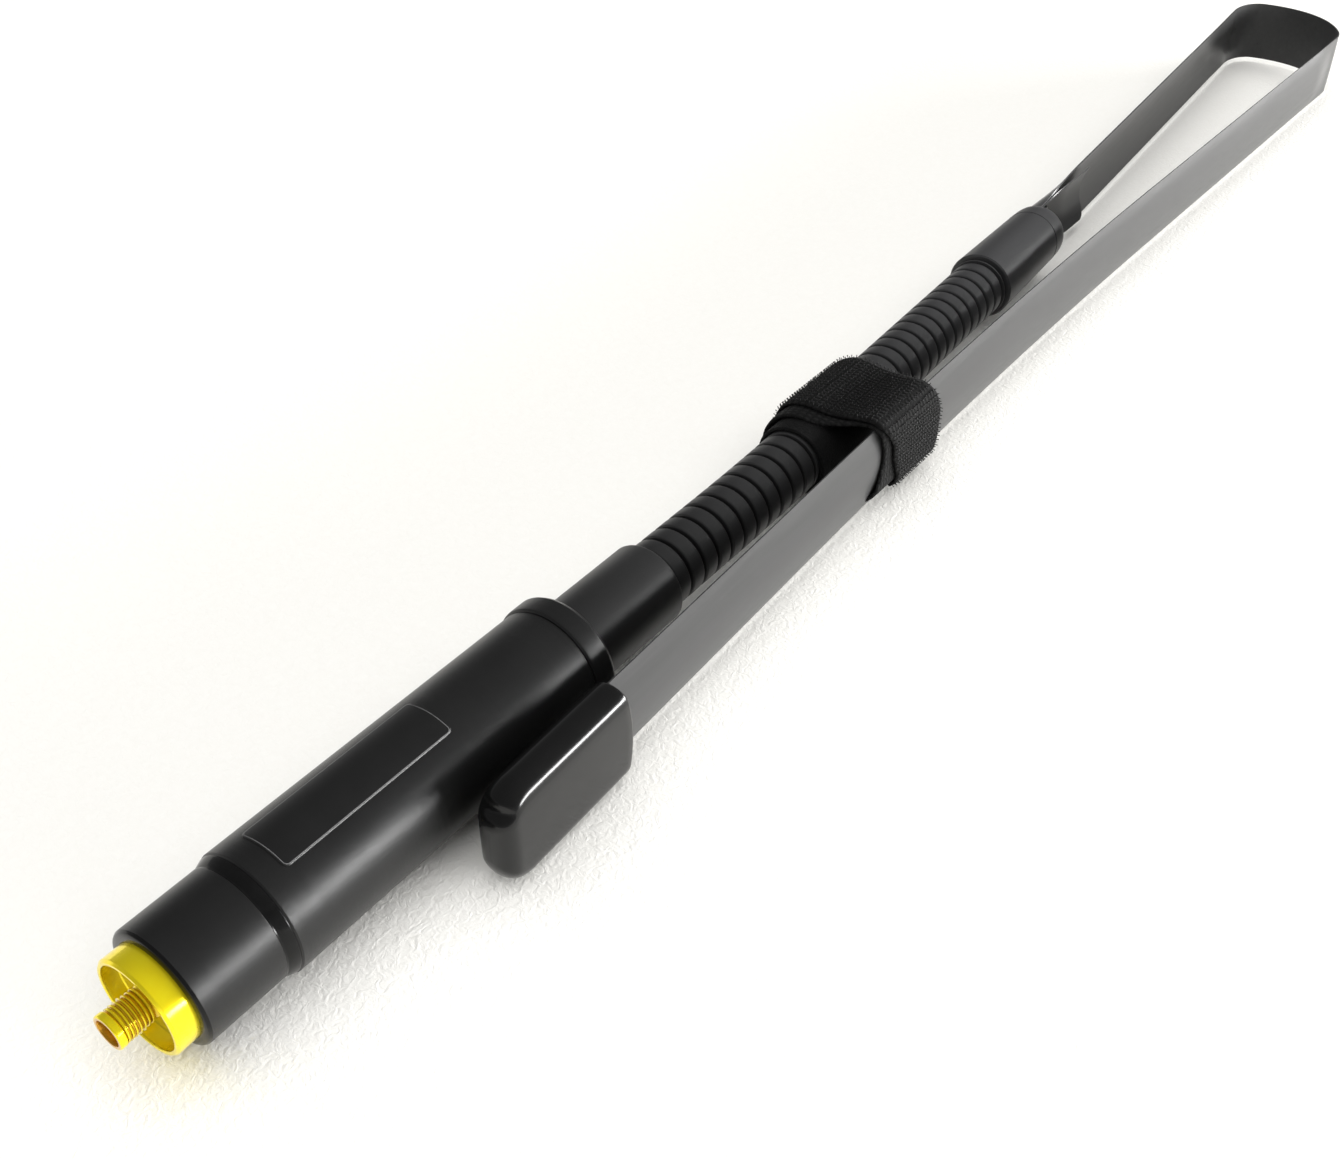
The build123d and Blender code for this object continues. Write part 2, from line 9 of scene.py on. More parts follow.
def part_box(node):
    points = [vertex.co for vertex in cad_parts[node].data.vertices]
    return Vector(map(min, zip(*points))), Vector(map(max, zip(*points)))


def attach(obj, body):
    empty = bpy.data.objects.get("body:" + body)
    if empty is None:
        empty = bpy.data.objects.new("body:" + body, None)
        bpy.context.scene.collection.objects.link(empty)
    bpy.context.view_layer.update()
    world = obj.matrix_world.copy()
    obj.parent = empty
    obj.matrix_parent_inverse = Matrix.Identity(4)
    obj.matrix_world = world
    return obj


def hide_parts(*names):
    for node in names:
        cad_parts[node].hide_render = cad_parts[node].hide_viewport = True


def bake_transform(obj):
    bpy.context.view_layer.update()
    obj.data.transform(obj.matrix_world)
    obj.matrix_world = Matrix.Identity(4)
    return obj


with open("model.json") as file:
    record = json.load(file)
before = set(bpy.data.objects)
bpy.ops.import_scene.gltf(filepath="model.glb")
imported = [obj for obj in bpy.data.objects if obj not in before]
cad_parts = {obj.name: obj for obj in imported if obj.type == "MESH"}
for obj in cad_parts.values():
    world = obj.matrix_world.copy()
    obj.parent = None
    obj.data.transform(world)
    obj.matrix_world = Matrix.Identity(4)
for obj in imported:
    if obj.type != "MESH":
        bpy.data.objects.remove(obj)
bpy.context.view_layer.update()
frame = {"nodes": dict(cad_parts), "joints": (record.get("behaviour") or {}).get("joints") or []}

# ---- The studio ----
# A pale table under a soft overhead light, with a low bright window on the side of the
# folded blade. Lengths in this file are millimetres until they go into a mesh.
MM = 0.001
TABLE_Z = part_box("end_cap")[0].z


def new_material(name):
    """An empty material: its node tree and its principled shader."""
    material = bpy.data.materials.new(name)
    material.use_nodes = True
    tree = material.node_tree
    tree.nodes.clear()
    output = tree.nodes.new("ShaderNodeOutputMaterial")
    shader = tree.nodes.new("ShaderNodeBsdfPrincipled")
    tree.links.new(shader.outputs["BSDF"], output.inputs["Surface"])
    return material, tree, shader


def add_node(tree, kind, settings=None, **values):
    """A node with its settings, and with values or links on its named inputs."""
    made = tree.nodes.new(kind)
    for setting, value in (settings or {}).items():
        setattr(made, setting, value)
    for name, value in values.items():
        socket = made.inputs[name.replace("_", " ")]
        if isinstance(value, bpy.types.NodeSocket):
            tree.links.new(value, socket)
        else:
            socket.default_value = value
    return made


def colour_between(tree, amount, first, second):
    """A colour that goes from first to second with amount."""
    mix = tree.nodes.new("ShaderNodeMix")
    mix.data_type = "RGBA"
    tree.links.new(amount, mix.inputs["Factor"])
    mix.inputs["A"].default_value = (*first, 1)
    mix.inputs["B"].default_value = (*second, 1)
    return mix.outputs["Result"]


def spread(tree, amount, low, high):
    """A number that goes from low to high with amount."""
    ranged = tree.nodes.new("ShaderNodeMapRange")
    tree.links.new(amount, ranged.inputs["Value"])
    ranged.inputs["To Min"].default_value = low
    ranged.inputs["To Max"].default_value = high
    return ranged.outputs["Result"]


def object_place(tree):
    return add_node(tree, "ShaderNodeTexCoord").outputs["Object"]


def bump(tree, shader, height, depth, strength=1.0):
    """Surface relief of that depth in metres."""
    relief = add_node(tree, "ShaderNodeBump", Strength=strength, Distance=depth, Height=height)
    tree.links.new(relief.outputs["Normal"], shader.inputs["Normal"])


def table_finish():
    material, tree, shader = new_material("table_paper")
    grain = add_node(
        tree, "ShaderNodeTexNoise", Vector=object_place(tree), Scale=650.0, Detail=3.0, Distortion=1.2
    )
    tint = colour_between(tree, grain.outputs["Fac"], (0.885, 0.87, 0.825), (0.93, 0.92, 0.885))
    tree.links.new(tint, shader.inputs["Base Color"])
    shader.inputs["Roughness"].default_value = 0.75
    bump(tree, shader, grain.outputs["Fac"], 0.0003, 0.4)
    return material


bpy.ops.mesh.primitive_plane_add(size=12, location=(0.25, 0, TABLE_Z))
table = bpy.context.object
table.name = "table"
table.data.materials.append(table_finish())

camera = bpy.data.objects.new("camera", bpy.data.cameras.new("camera"))
bpy.context.scene.collection.objects.link(camera)
camera.location = (-0.0538, -0.1417, 0.1883)
camera.rotation_euler = (math.radians(90 - 39.06), 0, math.radians(36.695 - 90))
camera.data.sensor_width = 36
camera.data.lens = 40.465
camera.data.clip_start = 0.01
bpy.context.scene.camera = camera
bpy.context.scene.view_settings.view_transform = "Standard"

OVERHEAD_GREY = 0.26


def studio_air():
    """Soft light from all round: much darker overhead, brightest low down on the near side."""
    world = bpy.data.worlds.new("studio")
    world.use_nodes = True
    tree = world.node_tree
    background = tree.nodes["Background"]
    place = add_node(tree, "ShaderNodeTexCoord").outputs["Generated"]
    height = add_node(tree, "ShaderNodeSeparateXYZ", Vector=place).outputs["Z"]
    side = add_node(tree, "ShaderNodeSeparateXYZ", Vector=place).outputs["Y"]
    low = add_node(
        tree, "ShaderNodeMapRange", Value=height, From_Min=0.02, From_Max=0.4, To_Min=1.0, To_Max=0.0
    ).outputs["Result"]
    near = add_node(
        tree, "ShaderNodeMapRange", Value=side, From_Min=0.6, From_Max=-0.6, To_Min=0.3, To_Max=0.6
    ).outputs["Result"]
    bright = add_node(tree, "ShaderNodeMath", settings={"operation": "MULTIPLY"})
    tree.links.new(low, bright.inputs[0])
    tree.links.new(near, bright.inputs[1])
    tint = colour_between(tree, bright.outputs[0], (OVERHEAD_GREY,) * 3, (1.0, 1.0, 1.0))
    tree.links.new(tint, background.inputs["Color"])
    background.inputs["Strength"].default_value = 0.75
    bpy.context.scene.world = world


studio_air()


def add_light(name, place, target, width, height, power, mirrored):
    """A rectangular lamp. Where mirrored is false it lights but doesn't show in reflections."""
    data = bpy.data.lights.new(name, "AREA")
    data.shape = "RECTANGLE"
    data.size = width
    data.size_y = height
    data.energy = power
    lamp = bpy.data.objects.new(name, data)
    bpy.context.scene.collection.objects.link(lamp)
    lamp.location = place
    lamp.rotation_euler = (Vector(target) - Vector(place)).to_track_quat("-Z", "Y").to_euler()
    lamp.visible_glossy = mirrored


add_light("overhead", (0.3, 0.1, 2.2), (0.25, 0, 0), 5.0, 5.0, 118, False)
add_light("side", (0.25, -1.3, 0.16), (0.25, 0, 0), 1.6, 0.25, 12, False)
add_light("window", (0.87, -0.94, 0.11), (0.1, 0, 0), 1.3, 0.2, 32, True)


# ---- The jack ----
# The barrel that screws into the radio: turned brass with bright gold plating, a plain lip, a
# 36-to-the-inch thread and a wider plain root, round a white insulator and a gold contact.
def link_mesh(name, mesh, material):
    """Puts a finished mesh in the scene, smooth, with its material."""
    made = bpy.data.objects.new(name, mesh)
    bpy.context.scene.collection.objects.link(made)
    mesh.materials.clear()
    mesh.materials.append(material)
    mesh.shade_smooth()
    return made


def mesh_from_rings(name, rings, closed_path=False, cap_ends=True):
    """Joins rings of points, in millimetres, into a closed skin with crisp edges at its ends."""
    shape = bmesh.new()
    loops = [[shape.verts.new(Vector(point) * MM) for point in ring] for ring in rings]
    pairs = list(zip(loops[:-1], loops[1:]))
    if closed_path:
        pairs.append((loops[-1], loops[0]))
    for before, after in pairs:
        count = len(before)
        for i in range(count):
            j = (i + 1) % count
            shape.faces.new((before[i], before[j], after[j], after[i]))
    if cap_ends and not closed_path:
        ends = [shape.faces.new(loops[0]), shape.faces.new(list(reversed(loops[-1])))]
        for edge in [edge for end in ends for edge in end.edges]:
            edge.smooth = False
    bmesh.ops.recalc_face_normals(shape, faces=shape.faces)
    mesh = bpy.data.meshes.new(name)
    shape.to_mesh(mesh)
    shape.free()
    return mesh


def lathe(name, outline, material, soften=0.0, place=None, segments=96):
    """A turned piece: its outline of (x, radius) points goes round the x axis, all closed."""
    rings = []
    for step in range(segments):
        turn = 2 * math.pi * step / segments
        rings.append([(x, r * math.cos(turn), r * math.sin(turn)) for x, r in outline])
    mesh = mesh_from_rings(name, rings, closed_path=True)
    if place is not None:
        mesh.transform(place)
    piece = link_mesh(name, mesh, material)
    if soften > 0:
        edge = piece.modifiers.new("soften", "BEVEL")
        edge.width = soften * MM
        edge.segments = 3
        edge.limit_method = "ANGLE"
        edge.angle_limit = math.radians(25)
        edge.harden_normals = True
    return piece


def reach(node):
    """Where a turned node starts and ends along x, and its radius."""
    low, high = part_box(node)
    return low.x / MM, high.x / MM, (high.z - low.z) / 2 / MM


def gold_finish():
    """Bright plating over brass: yellow and glossy outside, with painted shade that turns it browner down in
    the bore and thread.
    """
    material, tree, shader = new_material("gold_plating")
    place = object_place(tree)
    cloud = add_node(tree, "ShaderNodeTexNoise", Vector=place, Scale=260.0, Detail=3.0).outputs["Fac"]
    bright = colour_between(tree, cloud, (1.0, 0.76, 0.004), (1.0, 0.88, 0.015))
    across = add_node(tree, "ShaderNodeVectorMath", settings={"operation": "MULTIPLY"})
    tree.links.new(place, across.inputs[0])
    across.inputs[1].default_value = (0.0, 1.0, 1.0)
    radius = add_node(tree, "ShaderNodeVectorMath", settings={"operation": "LENGTH"})
    tree.links.new(across.outputs["Vector"], radius.inputs[0])
    # Painted shade: below the thread's crest radius, in the bore and the thread, the colour turns brown.
    outside = add_node(
        tree, "ShaderNodeMapRange", Value=radius.outputs["Value"], From_Min=0.0027, From_Max=0.0031
    )
    tint = colour_between(tree, outside.outputs["Result"], (0.60, 0.30, 0.01), (1.0, 0.83, 0.008))
    tree.links.new(bright, tint.node.inputs["B"])
    tree.links.new(tint, shader.inputs["Base Color"])
    tree.links.new(spread(tree, cloud, 0.10, 0.18), shader.inputs["Roughness"])
    shader.inputs["Metallic"].default_value = 0.7
    shader.inputs["Coat Weight"].default_value = 0.3
    shader.inputs["Coat Roughness"].default_value = 0.06
    along = add_node(tree, "ShaderNodeSeparateXYZ", Vector=place).outputs["X"]
    scaled = add_node(tree, "ShaderNodeMath", settings={"operation": "MULTIPLY"})
    tree.links.new(along, scaled.inputs[0])
    scaled.inputs[1].default_value = 9000.0
    lines = add_node(
        tree, "ShaderNodeTexNoise", settings={"noise_dimensions": "1D"}, W=scaled.outputs[0], Detail=2.0
    )
    bump(tree, shader, lines.outputs["Fac"], 0.000006, 0.5)
    return material


THREAD_PITCH = 0.7056
THREAD_CREST_R = 3.175
THREAD_ROOT_R = 2.78
THREAD_START = 1.5
THREAD_TURNS = 7
BARREL_BORE_R = 2.3
ROOT_START = 8.2
ROOT_R = 4.0
gold = gold_finish()
barrel_back = reach("jack_barrel")[1]
barrel = lathe(
    "jack_barrel_body",
    [
        (0.0, BARREL_BORE_R + 0.15),
        (0.0, THREAD_CREST_R - 0.18),
        (0.18, THREAD_CREST_R),
        (THREAD_START - 0.35, THREAD_CREST_R),
        (THREAD_START, THREAD_ROOT_R),
        (THREAD_START + THREAD_PITCH * THREAD_TURNS, THREAD_ROOT_R),
        (THREAD_START + THREAD_PITCH * THREAD_TURNS + 0.4, THREAD_CREST_R - 0.05),
        (ROOT_START, THREAD_CREST_R - 0.05),
        (ROOT_START, ROOT_R),
        (barrel_back, ROOT_R),
        (barrel_back, BARREL_BORE_R),
        (0.4, BARREL_BORE_R),
    ],
    gold,
    soften=0.05,
)
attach(barrel, "base")
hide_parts("jack_barrel")


def new_node_tree(name, inputs):
    """A geometry tree with named number inputs; returns it with its input node."""
    tree = bpy.data.node_groups.new(name, "GeometryNodeTree")
    tree.interface.new_socket("Geometry", in_out="INPUT", socket_type="NodeSocketGeometry")
    for label, kind in inputs:
        tree.interface.new_socket(label, in_out="INPUT", socket_type=kind)
    tree.interface.new_socket("Geometry", in_out="OUTPUT", socket_type="NodeSocketGeometry")
    entry = tree.nodes.new("NodeGroupInput")
    return tree, entry


def close_tree(tree, geometry, material):
    """Ends a geometry tree: real geometry with its material."""
    real = tree.nodes.new("GeometryNodeRealizeInstances")
    tree.links.new(geometry, real.inputs["Geometry"])
    dressed = add_node(tree, "GeometryNodeSetMaterial", Geometry=real.outputs["Geometry"])
    dressed.inputs["Material"].default_value = material
    leave = tree.nodes.new("NodeGroupOutput")
    tree.links.new(dressed.outputs["Geometry"], leave.inputs["Geometry"])


def grown(name, base_mesh, tree, values, material):
    """Runs a geometry tree on a base mesh and returns the result as a plain piece."""
    source = bpy.data.objects.new(name + "_source", base_mesh)
    bpy.context.scene.collection.objects.link(source)
    modifier = source.modifiers.new("grow", "NODES")
    modifier.node_group = tree
    for socket in tree.interface.items_tree:
        if socket.in_out == "INPUT" and socket.name in values:
            modifier[socket.identifier] = values[socket.name]
    bpy.context.view_layer.update()
    evaluated = source.evaluated_get(bpy.context.evaluated_depsgraph_get())
    mesh = bpy.data.meshes.new_from_object(evaluated)
    bpy.data.objects.remove(source)
    mesh.name = name
    return link_mesh(name, mesh, material)


def thread_tree(material):
    """A ridge wound round the x axis: a spiral with a three-sided section."""
    sizes = ("Root Radius", "Pitch", "Turns", "Start", "Ridge")
    tree, entry = new_node_tree("thread_ridge", [(label, "NodeSocketFloat") for label in sizes])
    length = add_node(tree, "ShaderNodeMath", settings={"operation": "MULTIPLY"})
    tree.links.new(entry.outputs["Pitch"], length.inputs[0])
    tree.links.new(entry.outputs["Turns"], length.inputs[1])
    spiral = add_node(
        tree,
        "GeometryNodeCurveSpiral",
        Resolution=64,
        Rotations=entry.outputs["Turns"],
        Start_Radius=entry.outputs["Root Radius"],
        End_Radius=entry.outputs["Root Radius"],
        Height=length.outputs[0],
    )
    section = add_node(tree, "GeometryNodeCurvePrimitiveCircle", Resolution=3, Radius=entry.outputs["Ridge"])
    ridge = add_node(
        tree,
        "GeometryNodeCurveToMesh",
        Curve=spiral.outputs["Curve"],
        Profile_Curve=section.outputs["Curve"],
        Fill_Caps=True,
    )
    offset = add_node(tree, "ShaderNodeCombineXYZ", X=entry.outputs["Start"])
    laid = add_node(
        tree,
        "GeometryNodeTransform",
        Geometry=ridge.outputs["Mesh"],
        Translation=offset.outputs["Vector"],
        Rotation=(0.0, math.pi / 2, 0.0),
    )
    close_tree(tree, laid.outputs["Geometry"], material)
    return tree


thread = grown(
    "jack_thread",
    bpy.data.meshes.new("thread_seed"),
    thread_tree(gold),
    {
        "Root Radius": (THREAD_CREST_R - 0.28) * MM,
        "Pitch": THREAD_PITCH * MM,
        "Turns": float(THREAD_TURNS),
        "Start": THREAD_START * MM,
        "Ridge": 0.29 * MM,
    },
    gold,
)
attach(thread, "base")


def white_insulator_finish():
    """Natural insulating plastic: waxy, faintly mottled."""
    material, tree, shader = new_material("white_insulator")
    cloud = add_node(tree, "ShaderNodeTexNoise", Vector=object_place(tree), Scale=500.0, Detail=3.0)
    tint = colour_between(tree, cloud.outputs["Fac"], (0.80, 0.77, 0.66), (0.88, 0.86, 0.78))
    tree.links.new(tint, shader.inputs["Base Color"])
    tree.links.new(spread(tree, cloud.outputs["Fac"], 0.35, 0.5), shader.inputs["Roughness"])
    shader.inputs["Subsurface Weight"].default_value = 0.15
    shader.inputs["Subsurface Radius"].default_value = (0.001, 0.001, 0.0008)
    return material


def dress(node, material):
    """Gives a kept frame node its material."""
    mesh = frame["nodes"][node].data
    mesh.materials.clear()
    mesh.materials.append(material)


white_insulator = white_insulator_finish()
for node in ("contact_insulator", "coil_former"):
    dress(node, white_insulator)
for node in ("centre_contact", "lock_nut"):
    dress(node, gold)

# ---- The gold cup ----
# A shallow cup round the jack that meets the radio's socket: turned and plated like the barrel,
# with a bevelled rim, a step inside, and a white insulating disc on its floor.
cup_front, cup_back, cup_r = reach("gold_cup")
CUP_WALL = 1.0
CUP_FLOOR = 10.3
cup = lathe(
    "gold_cup_body",
    [
        (cup_front + 0.12, cup_r - CUP_WALL),
        (cup_front, cup_r - CUP_WALL + 0.15),
        (cup_front, cup_r - 0.42),
        (cup_front + 0.42, cup_r),
        (cup_back, cup_r),
        (cup_back, ROOT_R),
        (CUP_FLOOR, ROOT_R),
        (CUP_FLOOR, cup_r - CUP_WALL),
        (CUP_FLOOR - 2.1, cup_r - CUP_WALL),
        (CUP_FLOOR - 2.3, cup_r - CUP_WALL + 0.2),
        (cup_front + 0.5, cup_r - CUP_WALL + 0.2),
    ],
    gold,
    soften=0.04,
    segments=128,
)
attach(cup, "base")
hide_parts("gold_cup")
dress("cup_insulator", white_insulator)


# ---- The housing ----
# Black anodised aluminium tubes turned on a lathe: a short front sleeve with a rounded face, a
# glossy tapered shoulder, the long tube that holds the coil, and a bright-edged collar behind.
def anodised_finish():
    """Satin black with very fine turning lines and a slightly worn, greyer bloom."""
    material, tree, shader = new_material("black_anodised")
    place = object_place(tree)
    along = add_node(tree, "ShaderNodeSeparateXYZ", Vector=place).outputs["X"]
    scaled = add_node(tree, "ShaderNodeMath", settings={"operation": "MULTIPLY"})
    tree.links.new(along, scaled.inputs[0])
    scaled.inputs[1].default_value = 6500.0
    lines = add_node(
        tree, "ShaderNodeTexNoise", settings={"noise_dimensions": "1D"}, W=scaled.outputs[0], Detail=3.0
    )
    cloud = add_node(tree, "ShaderNodeTexNoise", Vector=place, Scale=90.0, Detail=5.0)
    tint = colour_between(tree, cloud.outputs["Fac"], (0.005, 0.005, 0.005), (0.009, 0.009, 0.009))
    tree.links.new(tint, shader.inputs["Base Color"])
    tree.links.new(spread(tree, lines.outputs["Fac"], 0.26, 0.40), shader.inputs["Roughness"])
    shader.inputs["Specular IOR Level"].default_value = 0.36
    bump(tree, shader, lines.outputs["Fac"], 0.00003, 0.5)
    return material


def gloss_black_finish():
    """Polished black with a little orange peel."""
    material, tree, shader = new_material("black_gloss")
    peel = add_node(tree, "ShaderNodeTexNoise", Vector=object_place(tree), Scale=700.0, Detail=2.0)
    tint = colour_between(tree, peel.outputs["Fac"], (0.003, 0.003, 0.003), (0.006, 0.006, 0.006))
    tree.links.new(tint, shader.inputs["Base Color"])
    tree.links.new(spread(tree, peel.outputs["Fac"], 0.12, 0.2), shader.inputs["Roughness"])
    shader.inputs["Specular IOR Level"].default_value = 0.2
    bump(tree, shader, peel.outputs["Fac"], 0.00002, 0.3)
    return material


anodised = anodised_finish()
gloss_black = gloss_black_finish()

sleeve_front, sleeve_back, sleeve_r = reach("front_sleeve")
sleeve = lathe(
    "front_sleeve_body",
    [
        (sleeve_front, cup_r),
        (sleeve_front, cup_r + 0.18),
        (sleeve_front, sleeve_r - 0.75),
        (sleeve_front + 0.2, sleeve_r - 0.3),
        (sleeve_front + 0.65, sleeve_r),
        (sleeve_back, sleeve_r),
        (sleeve_back, cup_r),
    ],
    anodised,
    soften=0.12,
    segments=160,
)
sleeve.data.materials.append(gloss_black)
for face in sleeve.data.polygons:
    if face.center.x < (sleeve_front + 0.6) * MM:
        face.material_index = 1
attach(sleeve, "base")
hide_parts("front_sleeve")

housing_front, housing_back, housing_r = reach("main_housing")
shoulder = lathe(
    "shoulder_band_body",
    [
        (sleeve_back, cup_r),
        (sleeve_back, sleeve_r - 0.12),
        (sleeve_back + 0.35, sleeve_r - 0.12),
        (sleeve_back + 0.55, sleeve_r + 0.05),
        (housing_front - 0.35, housing_r - 0.22),
        (housing_front, housing_r - 0.22),
        (housing_front, cup_r),
    ],
    gloss_black,
    soften=0.08,
    segments=160,
)
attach(shoulder, "base")
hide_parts("shoulder_band")

housing = lathe(
    "main_housing_body",
    [
        (housing_front, housing_r - 1.5),
        (housing_front, housing_r - 0.3),
        (housing_front + 0.3, housing_r),
        (housing_back - 0.25, housing_r),
        (housing_back, housing_r - 0.25),
        (housing_back, housing_r - 1.5),
    ],
    anodised,
    soften=0.08,
    segments=160,
)
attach(housing, "base")
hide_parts("main_housing")

collar_front, collar_back, collar_r = reach("collar_ring")
ferrule_front, ferrule_back, ferrule_r = reach("lower_ferrule")
collar = lathe(
    "collar_ring_body",
    [
        (collar_front, ferrule_r),
        (collar_front, collar_r - 0.5),
        (collar_front + 0.35, collar_r - 0.08),
        (collar_front + 0.9, collar_r),
        (collar_back - 1.3, collar_r),
        (collar_back - 0.5, collar_r - 0.55),
        (collar_back, collar_r - 1.3),
        (collar_back, ferrule_r),
    ],
    anodised,
    soften=0.12,
    segments=160,
)
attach(collar, "base")
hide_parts("collar_ring")


def moulded_black_finish():
    """Plain moulded plastic for the parts inside the housing."""
    material, tree, shader = new_material("moulded_black")
    grain = add_node(tree, "ShaderNodeTexNoise", Vector=object_place(tree), Scale=900.0, Detail=3.0)
    tint = colour_between(tree, grain.outputs["Fac"], (0.02, 0.02, 0.02), (0.035, 0.035, 0.035))
    tree.links.new(tint, shader.inputs["Base Color"])
    tree.links.new(spread(tree, grain.outputs["Fac"], 0.45, 0.6), shader.inputs["Roughness"])
    bump(tree, shader, grain.outputs["Fac"], 0.00003, 0.4)
    return material


moulded_black = moulded_black_finish()
for node in ("base_plug", "rear_bushing", "cable_1", "cable_2", "cable_3", "cable_4", "cable_5"):
    dress(node, moulded_black)


# ---- The coil ----
# Enamelled copper wire wound on the white former, hidden inside the housing.
def copper_finish():
    """Enamelled wire: the turns show as fine ribs along the coil."""
    material, tree, shader = new_material("copper_winding")
    place = object_place(tree)
    turns = add_node(
        tree, "ShaderNodeTexWave", settings={"bands_direction": "X"}, Vector=place, Scale=160.0
    ).outputs["Fac"]
    tint = colour_between(tree, turns, (0.30, 0.10, 0.04), (0.62, 0.27, 0.12))
    tree.links.new(tint, shader.inputs["Base Color"])
    tree.links.new(spread(tree, turns, 0.3, 0.2), shader.inputs["Roughness"])
    shader.inputs["Metallic"].default_value = 0.8
    bump(tree, shader, turns, 0.0003, 0.6)
    return material


dress("matching_coil", copper_finish())

# ---- The label ----
# A dark film wrapped on the top of the housing, with rounded corners and a thin pale border
# line. It carries no lettering.
LABEL_FIRST = math.radians(65)
LABEL_LAST = math.radians(118)
LABEL_LIFT = 0.12
LABEL_CORNER = 1.1
label_front, label_back = reach("housing_label")[:2]


def on_housing(x, angle, lift):
    """A point over the housing's skin, by its angle from +y towards +z."""
    radius = housing_r + lift
    return (x, radius * math.cos(angle), radius * math.sin(angle))


def rounded_frame(inset, steps=10):
    """The outline of the label, inset, as (x, angle) points with round corners."""
    corner = LABEL_CORNER - inset
    half_length = (label_back - label_front) / 2 - inset - corner
    half_height = (LABEL_LAST - LABEL_FIRST) / 2 * housing_r - inset - corner
    middle_x = (label_front + label_back) / 2
    middle_angle = (LABEL_FIRST + LABEL_LAST) / 2
    points = []
    for quarter, (side, up) in enumerate(((1, 1), (-1, 1), (-1, -1), (1, -1))):
        for step in range(steps + 1):
            turn = math.pi / 2 * (quarter + step / steps)
            x = middle_x + side * half_length + corner * math.cos(turn)
            height = up * half_height + corner * math.sin(turn)
            points.append((x, middle_angle + height / housing_r))
    return dense_loop(points, 1.0)


def dense_loop(points, longest):
    """Adds points on long straight stretches, so that they can follow the housing's curve."""
    filled = []
    for here, there in zip(points, points[1:] + points[:1]):
        span = max(abs(there[0] - here[0]), abs(there[1] - here[1]) * housing_r)
        pieces = max(1, math.ceil(span / longest))
        for step in range(pieces):
            share = step / pieces
            filled.append(tuple(a + (b - a) * share for a, b in zip(here, there)))
    return filled


def film_finish():
    """Dark printed film, about as glossy as the anodising round it."""
    material, tree, shader = new_material("label_film")
    grain = add_node(tree, "ShaderNodeTexNoise", Vector=object_place(tree), Scale=300.0, Detail=3.0)
    tint = colour_between(tree, grain.outputs["Fac"], (0.004, 0.004, 0.004), (0.006, 0.006, 0.006))
    tree.links.new(tint, shader.inputs["Base Color"])
    tree.links.new(spread(tree, grain.outputs["Fac"], 0.3, 0.4), shader.inputs["Roughness"])
    return material


def border_ink_finish():
    """Pale grey ink, slightly uneven."""
    material, tree, shader = new_material("label_ink")
    grain = add_node(tree, "ShaderNodeTexNoise", Vector=object_place(tree), Scale=1500.0, Detail=2.0)
    tint = colour_between(tree, grain.outputs["Fac"], (0.05, 0.05, 0.05), (0.12, 0.12, 0.12))
    tree.links.new(tint, shader.inputs["Base Color"])
    tree.links.new(spread(tree, grain.outputs["Fac"], 0.4, 0.6), shader.inputs["Roughness"])
    return material


def label_plate(name, lift, depth):
    """The film: rows across it that shorten near its ends to round the corners."""
    shape = bmesh.new()
    rows = []
    columns = 24
    row_count = 60
    corner = LABEL_CORNER
    half_height = (LABEL_LAST - LABEL_FIRST) / 2 * housing_r
    middle = (LABEL_FIRST + LABEL_LAST) / 2
    for row in range(row_count + 1):
        share = 0.5 - 0.5 * math.cos(math.pi * row / row_count)
        x = label_front + (label_back - label_front) * share
        to_end = min(x - label_front, label_back - x)
        cut = 0.0
        if to_end < corner:
            cut = corner - math.sqrt(corner**2 - (corner - to_end) ** 2)
        half = (half_height - cut) / housing_r
        line = []
        for column in range(columns + 1):
            angle = middle - half + 2 * half * column / columns
            line.append(shape.verts.new(Vector(on_housing(x, angle, lift)) * MM))
        rows.append(line)
    for before, after in zip(rows[:-1], rows[1:]):
        for i in range(columns):
            shape.faces.new((before[i], after[i], after[i + 1], before[i + 1]))
    bmesh.ops.recalc_face_normals(shape, faces=shape.faces)
    mesh = bpy.data.meshes.new(name)
    shape.to_mesh(mesh)
    shape.free()
    if sum(face.normal.z for face in mesh.polygons) < 0:
        mesh.flip_normals()
    return thickened(link_mesh(name, mesh, film_finish()), depth)


def thickened(piece, depth):
    wall = piece.modifiers.new("wall", "SOLIDIFY")
    wall.thickness = depth * MM
    wall.offset = -1
    return piece


label = label_plate("housing_label_film", LABEL_LIFT, LABEL_LIFT)
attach(label, "base")
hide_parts("housing_label")


def label_border(name, inset, width, lift):
    """The printed line, as a closed band of its own thickness."""
    outer = rounded_frame(inset)
    inner = rounded_frame(inset + width)
    base = lift - 0.015
    rings = []
    for (x0, a0), (x1, a1) in zip(outer, inner):
        rings.append([
            on_housing(x0, a0, base),
            on_housing(x0, a0, lift + 0.015),
            on_housing(x1, a1, lift + 0.015),
            on_housing(x1, a1, base),
        ])
    return link_mesh(name, mesh_from_rings(name, rings, closed_path=True), border_ink_finish())


border = label_border("housing_label_border", 0.25, 0.16, LABEL_LIFT)
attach(border, "base")


# ---- The gooseneck ----
# Formed steel wire wound into a hose of nested turns and coated satin black: a smooth ferrule
# at the housing, eleven turns that bend, and twenty-one more up to the upper ferrule.
NECK_STRAIGHT_END = 150.0
NECK_CURVE_END = 188.0
NECK_HEADING = math.radians(2.65)
TURN_PITCH = 4.58
TURN_GAP = 0.9
BENDING_TURNS = 11
FIXED_TURNS = 21
neck_start = frame["joints"][0]["pos_m"][0] / MM
turn_r = reach("neck_turn_01")[2]


